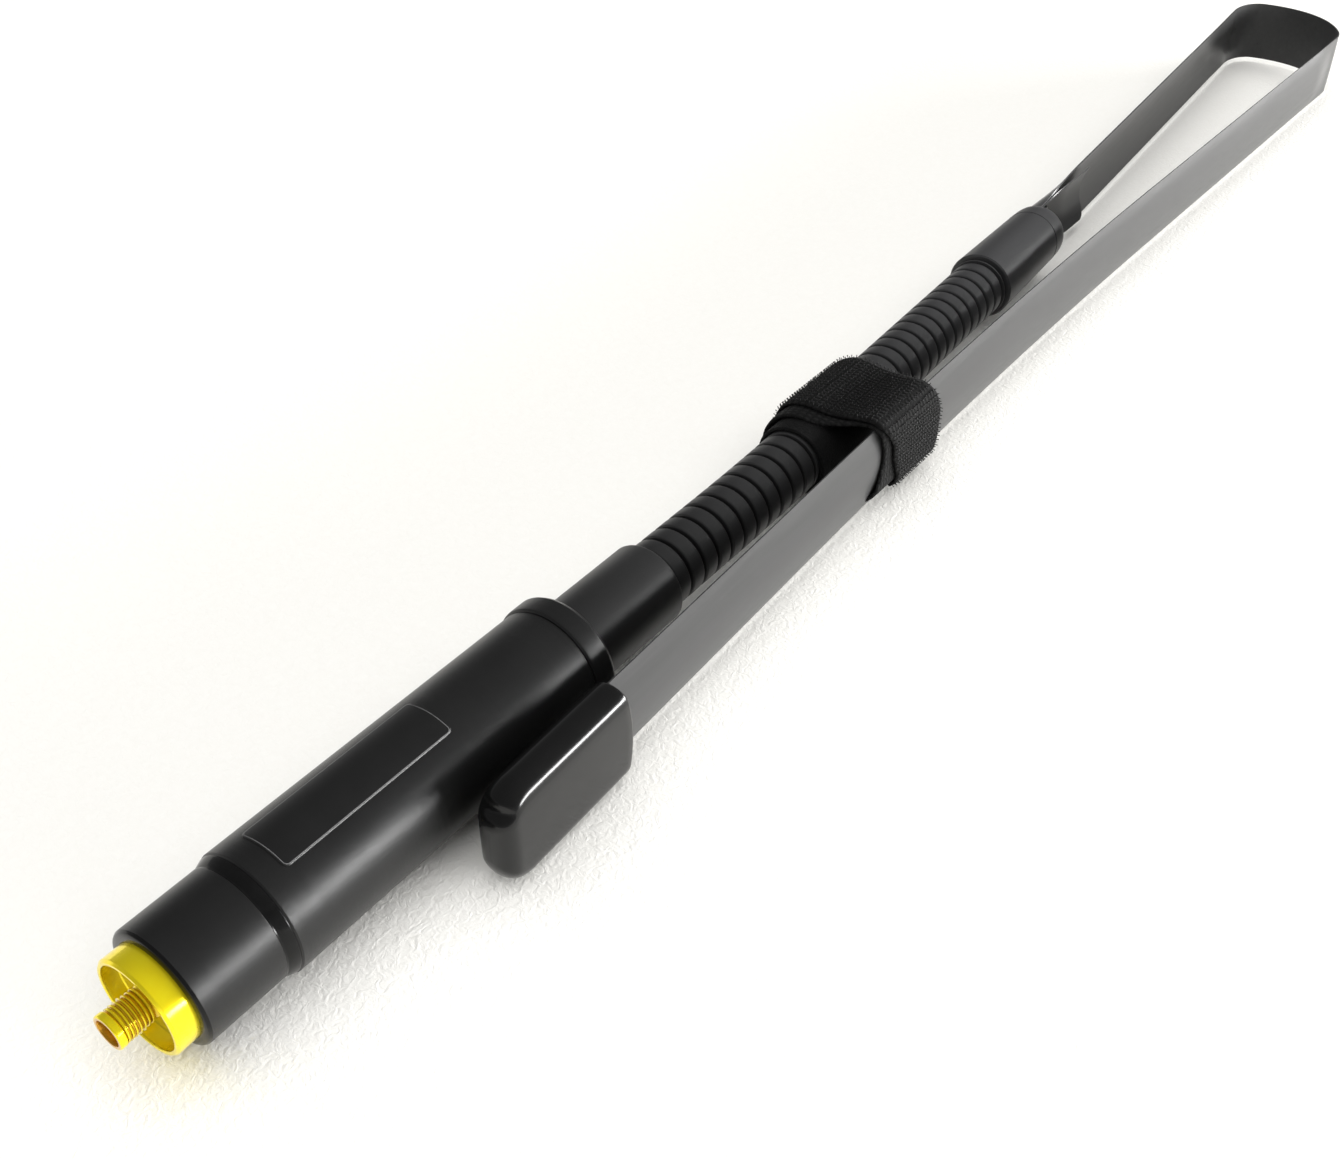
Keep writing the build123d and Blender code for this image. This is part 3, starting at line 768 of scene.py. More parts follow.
def neck_y(x):
    """The neck's centre line, seen from above, and its heading."""
    radius = (NECK_CURVE_END - NECK_STRAIGHT_END) / NECK_HEADING
    along = min(max(x - NECK_STRAIGHT_END, 0), NECK_CURVE_END - NECK_STRAIGHT_END)
    heading = along / radius
    beyond = max(x - NECK_CURVE_END, 0) * math.tan(NECK_HEADING)
    return radius * (1 - math.cos(heading)) + beyond, heading


def neck_matrix(x):
    """Moves a piece turned about the origin onto the neck at x."""
    y, heading = neck_y(x)
    return Matrix.Translation(Vector((x, y, 0)) * MM) @ Matrix.Rotation(heading, 4, "Z")


def neck_coat_finish():
    """Satin black coating over steel, slightly pebbled, and paler further from the housing."""
    material, tree, shader = new_material("neck_coating")
    place = object_place(tree)
    cloud = add_node(tree, "ShaderNodeTexNoise", Vector=place, Scale=120.0, Detail=4.0).outputs["Fac"]
    grain = add_node(tree, "ShaderNodeTexNoise", Vector=place, Scale=1400.0, Detail=2.0).outputs["Fac"]
    along = add_node(tree, "ShaderNodeSeparateXYZ", Vector=place).outputs["X"]
    paler_further = add_node(tree, "ShaderNodeMapRange", Value=along, From_Min=0.11, From_Max=0.29)
    tint = colour_between(tree, paler_further.outputs["Result"], (0.009, 0.009, 0.009), (0.03, 0.03, 0.031))
    tree.links.new(tint, shader.inputs["Base Color"])
    tree.links.new(spread(tree, cloud, 0.36, 0.5), shader.inputs["Roughness"])
    shader.inputs["Specular IOR Level"].default_value = 0.42
    bump(tree, shader, grain, 0.00002, 0.35)
    return material


def turn_tree(material):
    """One turn of the neck on every point: a band with round edges, and its inner lip."""
    sizes = ("Outer Radius", "Band Width", "Band Depth", "Edge Round", "Lip Radius", "Lip Width", "Lip Shift")
    tree, entry = new_node_tree("neck_turns", [(label, "NodeSocketFloat") for label in sizes])

    def difference(first, second, operation="SUBTRACT"):
        made = add_node(tree, "ShaderNodeMath", settings={"operation": operation})
        for index, value in enumerate((first, second)):
            if isinstance(value, bpy.types.NodeSocket):
                tree.links.new(value, made.inputs[index])
            else:
                made.inputs[index].default_value = value
        return made.outputs[0]

    def hoop(radius, width, depth, rounding):
        """A hoop about the z axis with a round-cornered section."""
        block = add_node(tree, "GeometryNodeCurvePrimitiveQuadrilateral", Width=depth, Height=width)
        section = add_node(
            tree, "GeometryNodeFilletCurve", Curve=block.outputs["Curve"], Radius=rounding, Limit_Radius=True
        )
        section_points = 5
        if "Mode" in section.inputs:
            section.inputs["Mode"].default_value = "Poly"
        else:
            section.mode = "POLY"
        section.inputs["Count"].default_value = section_points
        middle = difference(radius, difference(depth, 0.5, "MULTIPLY"))
        path = add_node(tree, "GeometryNodeCurvePrimitiveCircle", Resolution=96, Radius=middle)
        return add_node(
            tree,
            "GeometryNodeCurveToMesh",
            Curve=path.outputs["Curve"],
            Profile_Curve=section.outputs["Curve"],
        ).outputs["Mesh"]

    band = hoop(
        entry.outputs["Outer Radius"],
        entry.outputs["Band Width"],
        entry.outputs["Band Depth"],
        entry.outputs["Edge Round"],
    )
    lip = hoop(
        entry.outputs["Lip Radius"],
        entry.outputs["Lip Width"],
        entry.outputs["Band Depth"],
        entry.outputs["Edge Round"],
    )
    lip_place = add_node(tree, "ShaderNodeCombineXYZ", Z=entry.outputs["Lip Shift"])
    lip_moved = add_node(
        tree, "GeometryNodeTransform", Geometry=lip, Translation=lip_place.outputs["Vector"]
    )
    both = tree.nodes.new("GeometryNodeJoinGeometry")
    tree.links.new(band, both.inputs["Geometry"])
    tree.links.new(lip_moved.outputs["Geometry"], both.inputs["Geometry"])
    upright = add_node(
        tree,
        "GeometryNodeTransform",
        Geometry=both.outputs["Geometry"],
        Rotation=(0.0, math.pi / 2, 0.0),
    )
    heading = tree.nodes.new("GeometryNodeInputNamedAttribute")
    heading.data_type = "FLOAT"
    heading.inputs["Name"].default_value = "heading"
    turned = add_node(tree, "ShaderNodeCombineXYZ", Z=heading.outputs["Attribute"])
    placed = add_node(
        tree,
        "GeometryNodeInstanceOnPoints",
        Points=entry.outputs["Geometry"],
        Instance=upright.outputs["Geometry"],
        Rotation=turned.outputs["Vector"],
    )
    close_tree(tree, placed.outputs["Instances"], material)
    return tree


neck_coat = neck_coat_finish()
neck_tree = turn_tree(neck_coat)
TURN_SIZES = {
    "Outer Radius": turn_r * MM,
    "Band Width": (TURN_PITCH - TURN_GAP) * MM,
    "Band Depth": 1.7 * MM,
    "Edge Round": 0.42 * MM,
    "Lip Radius": 6.2 * MM,
    "Lip Width": 2.2 * MM,
    "Lip Shift": -2.6 * MM,
}


def neck_turns(name, first, count):
    """A run of turns: one point for each, with the neck's heading there."""
    seeds = bpy.data.meshes.new(name + "_seeds")
    middles = [neck_start + (first + i + 0.5) * TURN_PITCH for i in range(count)]
    seeds.from_pydata([Vector((x, neck_y(x)[0], 0)) * MM for x in middles], [], [])
    headings = seeds.attributes.new("heading", "FLOAT", "POINT")
    headings.data.foreach_set("value", [neck_y(x)[1] for x in middles])
    return grown(name, seeds, neck_tree, TURN_SIZES, neck_coat)


for index in range(BENDING_TURNS):
    label_number = f"{index + 1:02d}"
    turn = neck_turns(f"neck_turn_{label_number}_ring", index, 1)
    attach(turn, f"neck_link_{label_number}")
    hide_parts(f"neck_turn_{label_number}")
upper_turns = neck_turns("upper_neck_rings", BENDING_TURNS, FIXED_TURNS)
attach(upper_turns, "upper_neck")
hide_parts("upper_neck_turns")

lower_ferrule = lathe(
    "lower_ferrule_sleeve",
    [
        (ferrule_front, 5.0),
        (ferrule_front, ferrule_r),
        (ferrule_back - 0.7, ferrule_r),
        (ferrule_back - 0.2, ferrule_r - 0.2),
        (ferrule_back, ferrule_r - 0.7),
        (ferrule_back, 6.45),
        (ferrule_back - 1.6, 6.2),
        (ferrule_back - 1.8, 5.0),
    ],
    neck_coat,
    soften=0.12,
    segments=128,
)
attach(lower_ferrule, "base")
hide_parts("lower_ferrule")

# ---- The upper ferrule ----
# A tapered metal sleeve pressed on the end of the gooseneck. It is domed at its mouth, where
# the blade comes out, with a fine groove before the dome and a thin ring at its foot.
upper_start = neck_start + (BENDING_TURNS + FIXED_TURNS) * TURN_PITCH
BAND_LENGTH = 1.6
UPPER_FERRULE_END = 316.0
FERRULE_R_START = 8.6
FERRULE_R_END = 7.9
ferrule_length = UPPER_FERRULE_END - upper_start - BAND_LENGTH
DOME_LENGTH = 4.0


def ferrule_outline():
    """Foot, taper, fine groove, then a dome as an arc down to the mouth."""
    outline = [(0.0, 7.0), (0.0, FERRULE_R_START - 0.35), (0.35, FERRULE_R_START)]
    groove = ferrule_length - DOME_LENGTH - 3.0
    slope = (FERRULE_R_END - FERRULE_R_START) / ferrule_length
    at_groove = FERRULE_R_START + slope * groove
    for shift, depth in ((0.0, 0.0), (0.12, 0.14), (0.38, 0.14), (0.5, 0.0)):
        outline.append((groove + shift, at_groove - depth))
    dome_start = ferrule_length - DOME_LENGTH
    for step in range(9):
        turn = math.pi / 2 * step / 8
        drop = 1.0 * (1 - math.cos(turn))
        outline.append((dome_start + DOME_LENGTH * math.sin(turn), FERRULE_R_END - drop))
    outline.append((ferrule_length - 0.3, 6.75))
    outline.append((ferrule_length - 6.0, 7.0))
    return outline


upper_ferrule = lathe(
    "upper_ferrule_sleeve",
    ferrule_outline(),
    neck_coat,
    soften=0.05,
    place=neck_matrix(upper_start + BAND_LENGTH),
    segments=128,
)
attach(upper_ferrule, "upper_neck")
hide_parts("upper_ferrule")
dress("blade_clamp", neck_coat)

foot_band = lathe(
    "ferrule_foot_band",
    [
        (0.25, 6.0),
        (0.25, turn_r + 0.3),
        (0.75, turn_r + 0.3),
        (0.95, turn_r - 0.3),
        (1.6, turn_r - 0.3),
        (1.6, 6.0),
    ],
    neck_coat,
    soften=0.1,
    place=neck_matrix(upper_start),
)
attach(foot_band, "upper_neck")
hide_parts("ferrule_band")


# ---- The blade ----
# One strip of cross-curved spring steel tape, lacquered black. It leaves the ferrule curled
# nearly into a tube, opens out, goes flat where it is folded, and comes back as the near strand.
def lacquer_finish():
    """Black lacquer on rolled steel: fine lengthwise streaks and a faint waviness."""
    material, tree, shader = new_material("blade_lacquer")
    place = object_place(tree)
    squeezed = add_node(tree, "ShaderNodeMapping", Vector=place, Scale=(0.04, 1.0, 1.0)).outputs["Vector"]
    streaks = add_node(tree, "ShaderNodeTexNoise", Vector=squeezed, Scale=900.0, Detail=4.0).outputs["Fac"]
    waves = add_node(tree, "ShaderNodeTexNoise", Vector=place, Scale=25.0, Detail=2.0).outputs["Fac"]
    tint = colour_between(tree, streaks, (0.038, 0.038, 0.038), (0.052, 0.052, 0.052))
    tree.links.new(tint, shader.inputs["Base Color"])
    tree.links.new(spread(tree, streaks, 0.25, 0.35), shader.inputs["Roughness"])
    shader.inputs["Specular IOR Level"].default_value = 0.2
    bump(tree, shader, waves, 0.0002, 0.25)
    return material


BLADE_WIDTH = 19.05
BLADE_THICKNESS = 0.4
BLADE_MIDDLE_Z = -1.25
BLADE_CURVE = 1 / 27.0
ROOT_CURVE = 1 / 6.5
FLAT_CURVE = 1 / 400.0
BLADE_HEADING = math.radians(4.38)
BLADE_FREE_X = 314.0
BLADE_OPEN_X = 346.0
BLADE_OPEN_Y = 10.0
FLATTENING_LENGTH = 18.0
BEND_TURN = math.radians(185.5)
lacquer = lacquer_finish()
folds = [j for j in frame["joints"] if j["name"].startswith("blade_unfold")]
fold_points = [Vector(j["pos_m"]).xy / MM for j in folds]


def smooth_step(low, high, value):
    share = min(max((value - low) / (high - low), 0.0), 1.0)
    return share * share * (3 - 2 * share)


def tape_ring(x, y, heading, curve, width=BLADE_WIDTH, middle_z=BLADE_MIDDLE_Z, thick=BLADE_THICKNESS):
    """The outline of the tape across its length. x and y place its two long edges, and it
    bulges to the left of its heading."""
    radius = 1 / curve
    half = width / 2 / radius
    centre = -radius * math.cos(half)
    across = 20
    left = Vector((-math.sin(heading), math.cos(heading), 0))
    points = []
    for side in (1, -1):
        for step in range(across + 1):
            angle = side * (2 * half * step / across - half)
            r = radius + side * thick / 2
            out = centre + r * math.cos(angle)
            points.append(Vector((x, y, middle_z)) + left * out + Vector((0, 0, r * math.sin(angle))))
    return points


def tape_piece(name, rings):
    """A length of tape from its rings, with crisp long edges."""
    piece = link_mesh(name, mesh_from_rings(name, rings), lacquer)
    piece.data.set_sharp_from_angle(angle=math.radians(40))
    return piece


def open_line_y(x):
    return BLADE_OPEN_Y + (x - BLADE_OPEN_X) * math.tan(BLADE_HEADING)


def far_ring(x):
    """The tape on the far side: curled at the ferrule, open further on, flat before the fold."""
    opened = smooth_step(BLADE_FREE_X - 2, BLADE_OPEN_X, x)
    flattened = smooth_step(fold_points[0].x - FLATTENING_LENGTH, fold_points[0].x - 1, x)
    curve = ROOT_CURVE + (BLADE_CURVE - ROOT_CURVE) * opened
    curve += (FLAT_CURVE - BLADE_CURVE) * flattened
    axis_y, neck_heading = neck_y(x)
    root_y = axis_y + math.cos(BLADE_WIDTH / 2 * ROOT_CURVE) / ROOT_CURVE
    y = root_y + (open_line_y(x) - root_y) * opened
    heading = neck_heading + (BLADE_HEADING - neck_heading) * opened
    return tape_ring(x, y, heading, curve, middle_z=BLADE_MIDDLE_Z * opened)


def fold_heading(index):
    """The direction of the tape at a fold hinge, from the hinges on each side of it."""
    step = BEND_TURN / (len(fold_points) - 1)
    if index < len(fold_points) - 1:
        chord = fold_points[index + 1] - fold_points[index]
        return math.atan2(chord.y, chord.x) + step / 2
    chord = fold_points[index] - fold_points[index - 1]
    return math.atan2(chord.y, chord.x) - step / 2


def fold_ring(index, share):
    """The flat tape part-way along the arc from one hinge to the next."""
    step = BEND_TURN / (len(fold_points) - 1)
    chord = (fold_points[index + 1] - fold_points[index]).length
    radius = chord / 2 / math.sin(step / 2)
    heading = fold_heading(index)
    turned = step * share
    run = 2 * radius * math.sin(turned / 2)
    x = fold_points[index].x + run * math.cos(heading - turned / 2)
    y = fold_points[index].y + run * math.sin(heading - turned / 2)
    return tape_ring(x, y, heading - turned, FLAT_CURVE)


NEAR_CURVE_START = 345.0
NEAR_CURVE_END = 165.0
NEAR_TURN = math.radians(3.3)
near_tip_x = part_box("near_strand")[0].x / MM


def near_ring(distance):
    """The tape on the near side, by its distance from the last hinge: straight, bowed, straight."""
    heading = fold_heading(len(fold_points) - 1)
    place = fold_points[-1].copy()
    straight = place.x - NEAR_CURVE_START
    bow = NEAR_CURVE_START - NEAR_CURVE_END
    first = min(distance, straight)
    place += first * Vector((math.cos(heading), math.sin(heading)))
    along_bow = min(max(distance - straight, 0.0), bow)
    turned = NEAR_TURN * along_bow / bow
    place += along_bow * Vector((math.cos(heading + turned / 2), math.sin(heading + turned / 2)))
    rest = max(distance - straight - bow, 0.0)
    place += rest * Vector((math.cos(heading + turned), math.sin(heading + turned)))
    curved = smooth_step(1.0, FLATTENING_LENGTH, distance)
    curve = FLAT_CURVE + (BLADE_CURVE - FLAT_CURVE) * curved
    return tape_ring(place.x, place.y, heading + turned, curve)


def stretch(first, last, longest):
    """Evenly spaced numbers from first to last."""
    count = max(1, math.ceil(abs(last - first) / longest))
    return [first + (last - first) * step / count for step in range(count + 1)]


HINGE_MARGIN = 4.0
far_end_x = fold_points[0].x - HINGE_MARGIN * math.cos(BLADE_HEADING)
far_places = stretch(298.0, BLADE_OPEN_X, 1.0) + stretch(BLADE_OPEN_X, far_end_x, 3.0)[1:]
far = tape_piece("blade_far_side", [far_ring(x) for x in far_places])
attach(far, "upper_neck")
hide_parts("far_strand")

near_length = fold_points[-1].x - near_tip_x - 0.6
near_places = stretch(HINGE_MARGIN, 30.0, 1.5) + stretch(30.0, near_length, 5.0)[1:]
near = tape_piece("blade_near_side", [near_ring(d) for d in near_places])
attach(near, "folded_blade")
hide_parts("near_strand")

for index in range(len(folds)):
    if index == 0:
        before = [far_ring(x) for x in stretch(far_end_x, fold_points[0].x, 0.6)]
    else:
        before = [fold_ring(index - 1, share) for share in stretch(0.5, 1.0, 0.06)]
    if index == len(folds) - 1:
        after = [near_ring(d) for d in stretch(0.0, HINGE_MARGIN, 0.6)]
    else:
        after = [fold_ring(index, share) for share in stretch(0.0, 0.5, 0.06)]
    rings = before[:-1] + after
    part = tape_piece(f"blade_fold_{index + 1}", rings)
    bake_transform(part)
    if index > 0:
        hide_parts(f"bend_{index}")

# ---- The two root leaves ----
# Shorter strips of the same tape that lie inside the blade's curl and stiffen its root. They
# stay curled to their ends, which are cut with round corners.
LONG_LEAF_WIDTH = 17.6
LONG_LEAF_TIP = 350.0
LONG_LEAF_EDGE_Y = 7.3
SHORT_LEAF_WIDTH = 15.0
SHORT_LEAF_TIP = 323.0
SHORT_LEAF_R = 5.5
LEAF_CORNER = 4.0


def leaf_piece(name, width, root_curve, tip_curve, open_x, tip_x, tip_y, tip_z):
    rings = []
    for x in stretch(300.0, tip_x - LEAF_CORNER, 1.0) + stretch(tip_x - LEAF_CORNER, tip_x, 0.3)[1:]:
        opened = smooth_step(BLADE_FREE_X - 2, open_x, x)
        curve = root_curve + (tip_curve - root_curve) * opened
        axis_y, neck_heading = neck_y(x)
        full_edge = axis_y + math.cos(width / 2 * root_curve) / root_curve
        y = full_edge + (tip_y - full_edge) * opened
        to_tip = tip_x - x
        cut = 0.0
        if to_tip < LEAF_CORNER:
            cut = LEAF_CORNER - math.sqrt(max(LEAF_CORNER**2 - (LEAF_CORNER - to_tip) ** 2, 0.0))
        here = width - 1.7 * cut
        belly_shift = (math.cos(here / 2 * curve) - math.cos(width / 2 * curve)) / curve
        heading = neck_heading + (BLADE_HEADING - neck_heading) * opened
        rings.append(tape_ring(x, y + belly_shift, heading, curve, here, tip_z * opened, 0.3))
    return tape_piece(name, rings)


long_leaf = leaf_piece(
    "long_leaf_strip", LONG_LEAF_WIDTH, 1 / 6.0, 1 / 12.5, 339.0, LONG_LEAF_TIP, LONG_LEAF_EDGE_Y, -0.6
)
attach(long_leaf, "upper_neck")
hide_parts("long_leaf")

short_curve = 1 / SHORT_LEAF_R
short_edge_y = neck_y(SHORT_LEAF_TIP)[0] + SHORT_LEAF_R * math.cos(SHORT_LEAF_WIDTH / 2 / SHORT_LEAF_R) - 1.3
short_leaf = leaf_piece(
    "short_leaf_strip",
    SHORT_LEAF_WIDTH,
    short_curve,
    short_curve,
    SHORT_LEAF_TIP,
    SHORT_LEAF_TIP,
    short_edge_y,
    -0.3,
)
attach(short_leaf, "upper_neck")
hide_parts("short_leaf")


# ---- The end cap ----
# A soft vinyl cap, dipped and slipped over the tip of the blade: thick, very glossy, with round
# edges, a bowed mouth and a small dimple where the dip ran off its closed end.
def dipped_vinyl_finish():
    """Wet-looking black with slow sags in the surface."""
    material, tree, shader = new_material("dipped_vinyl")
    place = object_place(tree)
    sag = add_node(tree, "ShaderNodeTexNoise", Vector=place, Scale=110.0, Detail=1.0).outputs["Fac"]
    dust = add_node(tree, "ShaderNodeTexNoise", Vector=place, Scale=2500.0, Detail=2.0).outputs["Fac"]
    tint = colour_between(tree, sag, (0.003, 0.003, 0.003), (0.005, 0.005, 0.005))
    tree.links.new(tint, shader.inputs["Base Color"])
    tree.links.new(spread(tree, dust, 0.12, 0.2), shader.inputs["Roughness"])
    shader.inputs["Specular IOR Level"].default_value = 0.36
    bump(tree, shader, sag, 0.0003, 0.2)
    return material


cap_low, cap_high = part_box("end_cap")
CAP_HALF_HEIGHT = (cap_high.z - cap_low.z) / 2 / MM
CAP_MIDDLE_Z = (cap_high.z + cap_low.z) / 2 / MM
CAP_LENGTH = 34.0
CAP_OUT = 4.4
CAP_IN = 3.6
CAP_WALL = 1.3
CAP_CORNER = 3.5
CAP_BULGE = 0.45
CAP_MOUTH_BOW = 1.2
CAP_END_ROUND_Z = 7.0
CAP_END_ROUND_Y = 3.2
CREASE_Z = 7.4
CREASE_REACH = 4.5
CREASE_WIDTH = 1.1
CREASE_DEPTH = 1.2
cap_heading = fold_heading(len(fold_points) - 1) + NEAR_TURN - math.pi
cap_tip = sum(near_ring(near_length), Vector()) / len(near_ring(near_length))


def rounding(depth, radius):
    """How much a side draws in at that depth from a rounded end."""
    if depth >= radius:
        return 0.0
    return radius - math.sqrt(max(radius**2 - (radius - depth) ** 2, 0.0))


def cap_ring(along, shrink, depth, bow):
    """A round-cornered oblong with bulging sides. Depth is measured from the closed end."""
    half_y = (CAP_OUT + CAP_IN) / 2 - CAP_BULGE - rounding(depth, CAP_END_ROUND_Y) - shrink
    half_z = CAP_HALF_HEIGHT - rounding(depth, CAP_END_ROUND_Z) - shrink
    corner = min(half_y * 0.98, CAP_CORNER)
    bulge = CAP_BULGE * min(1.0, half_y / 2)
    points = []
    corners = ((1, 1), (-1, 1), (-1, -1), (1, -1))
    for quarter, (side, up) in enumerate(corners):
        for step in range(11):
            turn = math.pi / 2 * (quarter + step / 10)
            points.append((side * (half_y - corner) + corner * math.cos(turn),
                           up * (half_z - corner) + corner * math.sin(turn)))
        next_side, next_up = corners[(quarter + 1) % 4]
        if side == next_side:
            for share in stretch(0.0, 1.0, 0.1)[1:-1]:
                points.append((side * half_y, (half_z - corner) * (up + (next_up - up) * share)))
    middle_y = (CAP_IN - CAP_OUT) / 2
    ring = []
    for y, z in points:
        full = 1 - (z / CAP_HALF_HEIGHT) ** 2
        ring.append(Vector((along + bow * full, middle_y + y * (1 + bulge * full / max(half_y, 1.0)), z)))
    return ring


def cap_mesh(name):
    """Outside from the closed end to the mouth, over the lip, and back down the inside."""
    rings = []
    for step in range(17):
        depth = CAP_END_ROUND_Z * (1 - math.cos(math.pi / 2 * step / 16))
        rings.append(cap_ring(depth, 0.0, depth, 0.0))
    for along in stretch(CAP_END_ROUND_Z, CAP_LENGTH - 1, 1.5)[1:]:
        bow = CAP_MOUTH_BOW * smooth_step(CAP_LENGTH - 14, CAP_LENGTH, along)
        rings.append(cap_ring(along, 0.0, along, bow))
    for step in range(1, 6):
        turn = math.pi * step / 6
        along = CAP_LENGTH - 1 + 0.6 * math.sin(turn)
        rings.append(cap_ring(along, 0.6 * (1 - math.cos(turn)), 50.0, CAP_MOUTH_BOW))
    rings.append(cap_ring(CAP_LENGTH - 3, CAP_WALL, 50.0, 0.6))
    for along in stretch(CAP_LENGTH - 8, 5.0, 8.0):
        rings.append(cap_ring(along, CAP_WALL, 50.0, 0.0))
    mesh = mesh_from_rings(name, rings)
    for vertex in mesh.vertices:
        x, y, z = vertex.co / MM
        if x < CREASE_REACH:
            fade = 1 - smooth_step(0.0, CREASE_REACH, x)
            pinch = math.exp(-(((z - CREASE_Z) / CREASE_WIDTH) ** 2)) * fade
            vertex.co.x += CREASE_DEPTH * pinch * MM
    return mesh


vinyl = dipped_vinyl_finish()
cap_shape = cap_mesh("end_cap_dipped")
cap_shape.transform(
    Matrix.Translation(Vector((cap_low.x / MM, 0, CAP_MIDDLE_Z)) * MM)
    @ Matrix.Translation(Vector((0, cap_tip.y - (4.0 * math.tan(cap_heading)), 0)) * MM)
    @ Matrix.Rotation(cap_heading, 4, "Z")
)
cap = link_mesh("end_cap_dipped", cap_shape, vinyl)
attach(cap, "tip_cap")
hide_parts("end_cap")

# ---- The strap ----
# Black hook-and-loop tape. One wide turn grips the neck, and two narrower layers go over the gap,
# down the outer side of the near strand and back under both. The outer layer's hooks face out.
STRAP_THICK = 0.9
STRAP_NECK_R = 9.15
STRAP_START_Y = -11.6
STRAP_START_Z = -11.62


def walk(y, z, moves, longest=0.5):
    """Points along a route of straight runs and arcs: (y, z, heading, distance)."""
    direction = 0.0
    distance = 0.0
    route = [(y, z, direction, distance)]
    for kind, size, turn in moves:
        length = size if kind == "run" else abs(size * math.radians(turn))
        count = max(1, math.ceil(length / longest))
        step = length / count
        step_turn = math.radians(turn) / count
        for _ in range(count):
            y += step * math.cos(direction + step_turn / 2)
            z += step * math.sin(direction + step_turn / 2)
            direction += step_turn
            distance += step
            route.append((y, z, direction, distance))
    return route


# The way round, from under the near strand: below the neck, over it, across, down and in.
strap_route = walk(
    STRAP_START_Y,
    STRAP_START_Z,
    [
        ("run", 6.8, 0.0),
        ("turn", 6.0, 20.0),
        ("run", 7.78, 0.0),
        ("turn", STRAP_NECK_R, 166.0),
        ("run", 2.0, 0.0),
        ("turn", -25.0, -14.0),
        ("run", 5.2, 0.0),
        ("turn", 3.2, 96.0),
        ("run", 11.8, 0.0),
        ("turn", 4.5, 46.0),
        ("run", 1.2, 0.0),
    ],
)
strap_length = strap_route[-1][3]


def strap_at(distance):
    """The strap's place and heading at that distance along it."""
    for before, after in zip(strap_route[:-1], strap_route[1:]):
        if after[3] >= distance:
            share = (distance - before[3]) / (after[3] - before[3])
            return [a + (b - a) * share for a, b in zip(before, after)]
    return list(strap_route[-1])


def strap_reaches(y):
    """The distance at which the strap, past the crest of the neck, reaches that y."""
    over = [spot for spot in strap_route if spot[1] > 0 and spot[2] > math.radians(150)]
    return min(over, key=lambda spot: abs(spot[0] - y))[3]


# Where each layer's two edges are along the strap: distance, front edge x, back edge x.
CREST = strap_reaches(1.4)
CORNER = strap_reaches(-13.5)
OUTER_EDGES = (
    (0.0, 192.0, 213.0),
    (CREST - 12.0, 190.3, 213.5),
    (CREST, 188.8, 213.2),
    (CORNER, 190.6, 212.2),
    (CORNER + 9.0, 195.0, 215.5),
    (strap_length, 198.0, 214.5),
)
INNER_EDGES = (
    (0.0, 190.0, 211.0),
    (CREST - 12.0, 184.4, 212.0),
    (CREST, 185.0, 211.0),
    (CORNER, 190.4, 210.0),
    (CORNER + 9.0, 192.3, 211.0),
    (strap_length, 188.8, 210.0),
)
OUTER_LIFT = 0.6
INNER_LIFT = -0.45


def edges_at(edges, distance):
    """The front and back edge at a distance, eased between the listed places."""
    for before, after in zip(edges[:-1], edges[1:]):
        if distance <= after[0]:
            share = smooth_step(before[0], after[0], distance)
            return before[1] + (after[1] - before[1]) * share, before[2] + (after[2] - before[2]) * share
    return edges[-1][1:]


def strap_point(edges, distance, share, lift):
    """A point of a layer: how far along, what share of the way across, and how far out."""
    y, z, direction, _ = strap_at(distance)
    front, back = edges_at(edges, distance)
    return Vector((
        front + (back - front) * share,
        y + lift * math.sin(direction),
        z - lift * math.cos(direction),
    ))


def strap_finish():
    """Woven nylon tape: ribs across, crossed by finer threads, with a faint fuzz."""
    material, tree, shader = new_material("strap_weave")
    place = add_node(tree, "ShaderNodeUVMap", settings={"uv_map": "along"}).outputs["UV"]
    bands_x = {"bands_direction": "X"}
    bands_y = {"bands_direction": "Y"}
    ribs = add_node(tree, "ShaderNodeTexWave", settings=bands_x, Vector=place, Scale=190.0, Distortion=1.5)
    threads = add_node(tree, "ShaderNodeTexWave", settings=bands_y, Vector=place, Scale=260.0, Distortion=2.0)
    fuzz = add_node(tree, "ShaderNodeTexNoise", Vector=object_place(tree), Scale=2600.0, Detail=5.0)
    height = add_node(tree, "ShaderNodeMath", settings={"operation": "MULTIPLY"})
    tree.links.new(ribs.outputs["Fac"], height.inputs[0])
    tree.links.new(threads.outputs["Fac"], height.inputs[1])
    both = add_node(tree, "ShaderNodeMath", settings={"operation": "ADD"})
    tree.links.new(height.outputs[0], both.inputs[0])
    tree.links.new(fuzz.outputs["Fac"], both.inputs[1])
    tint = colour_between(tree, both.outputs[0], (0.001, 0.001, 0.001), (0.009, 0.009, 0.009))
    tree.links.new(tint, shader.inputs["Base Color"])
    shader.inputs["Roughness"].default_value = 0.85
    shader.inputs["Specular IOR Level"].default_value = 0.12
    shader.inputs["Sheen Weight"].default_value = 0.02
    shader.inputs["Sheen Roughness"].default_value = 0.4
    bump(tree, shader, both.outputs[0], 0.0003, 0.8)
    return material


def hook_finish():
    """Bare nylon monofilament: dark, but smoother and shinier than the weave under it."""
    material, tree, shader = new_material("strap_hooks")
    patches = add_node(tree, "ShaderNodeTexNoise", Vector=object_place(tree), Scale=420.0, Detail=3.0)
    tint = colour_between(tree, patches.outputs["Fac"], (0.003, 0.003, 0.003), (0.012, 0.012, 0.012))
    tree.links.new(tint, shader.inputs["Base Color"])
    tree.links.new(spread(tree, patches.outputs["Fac"], 0.3, 0.5), shader.inputs["Roughness"])
    shader.inputs["Specular IOR Level"].default_value = 0.25
    return material


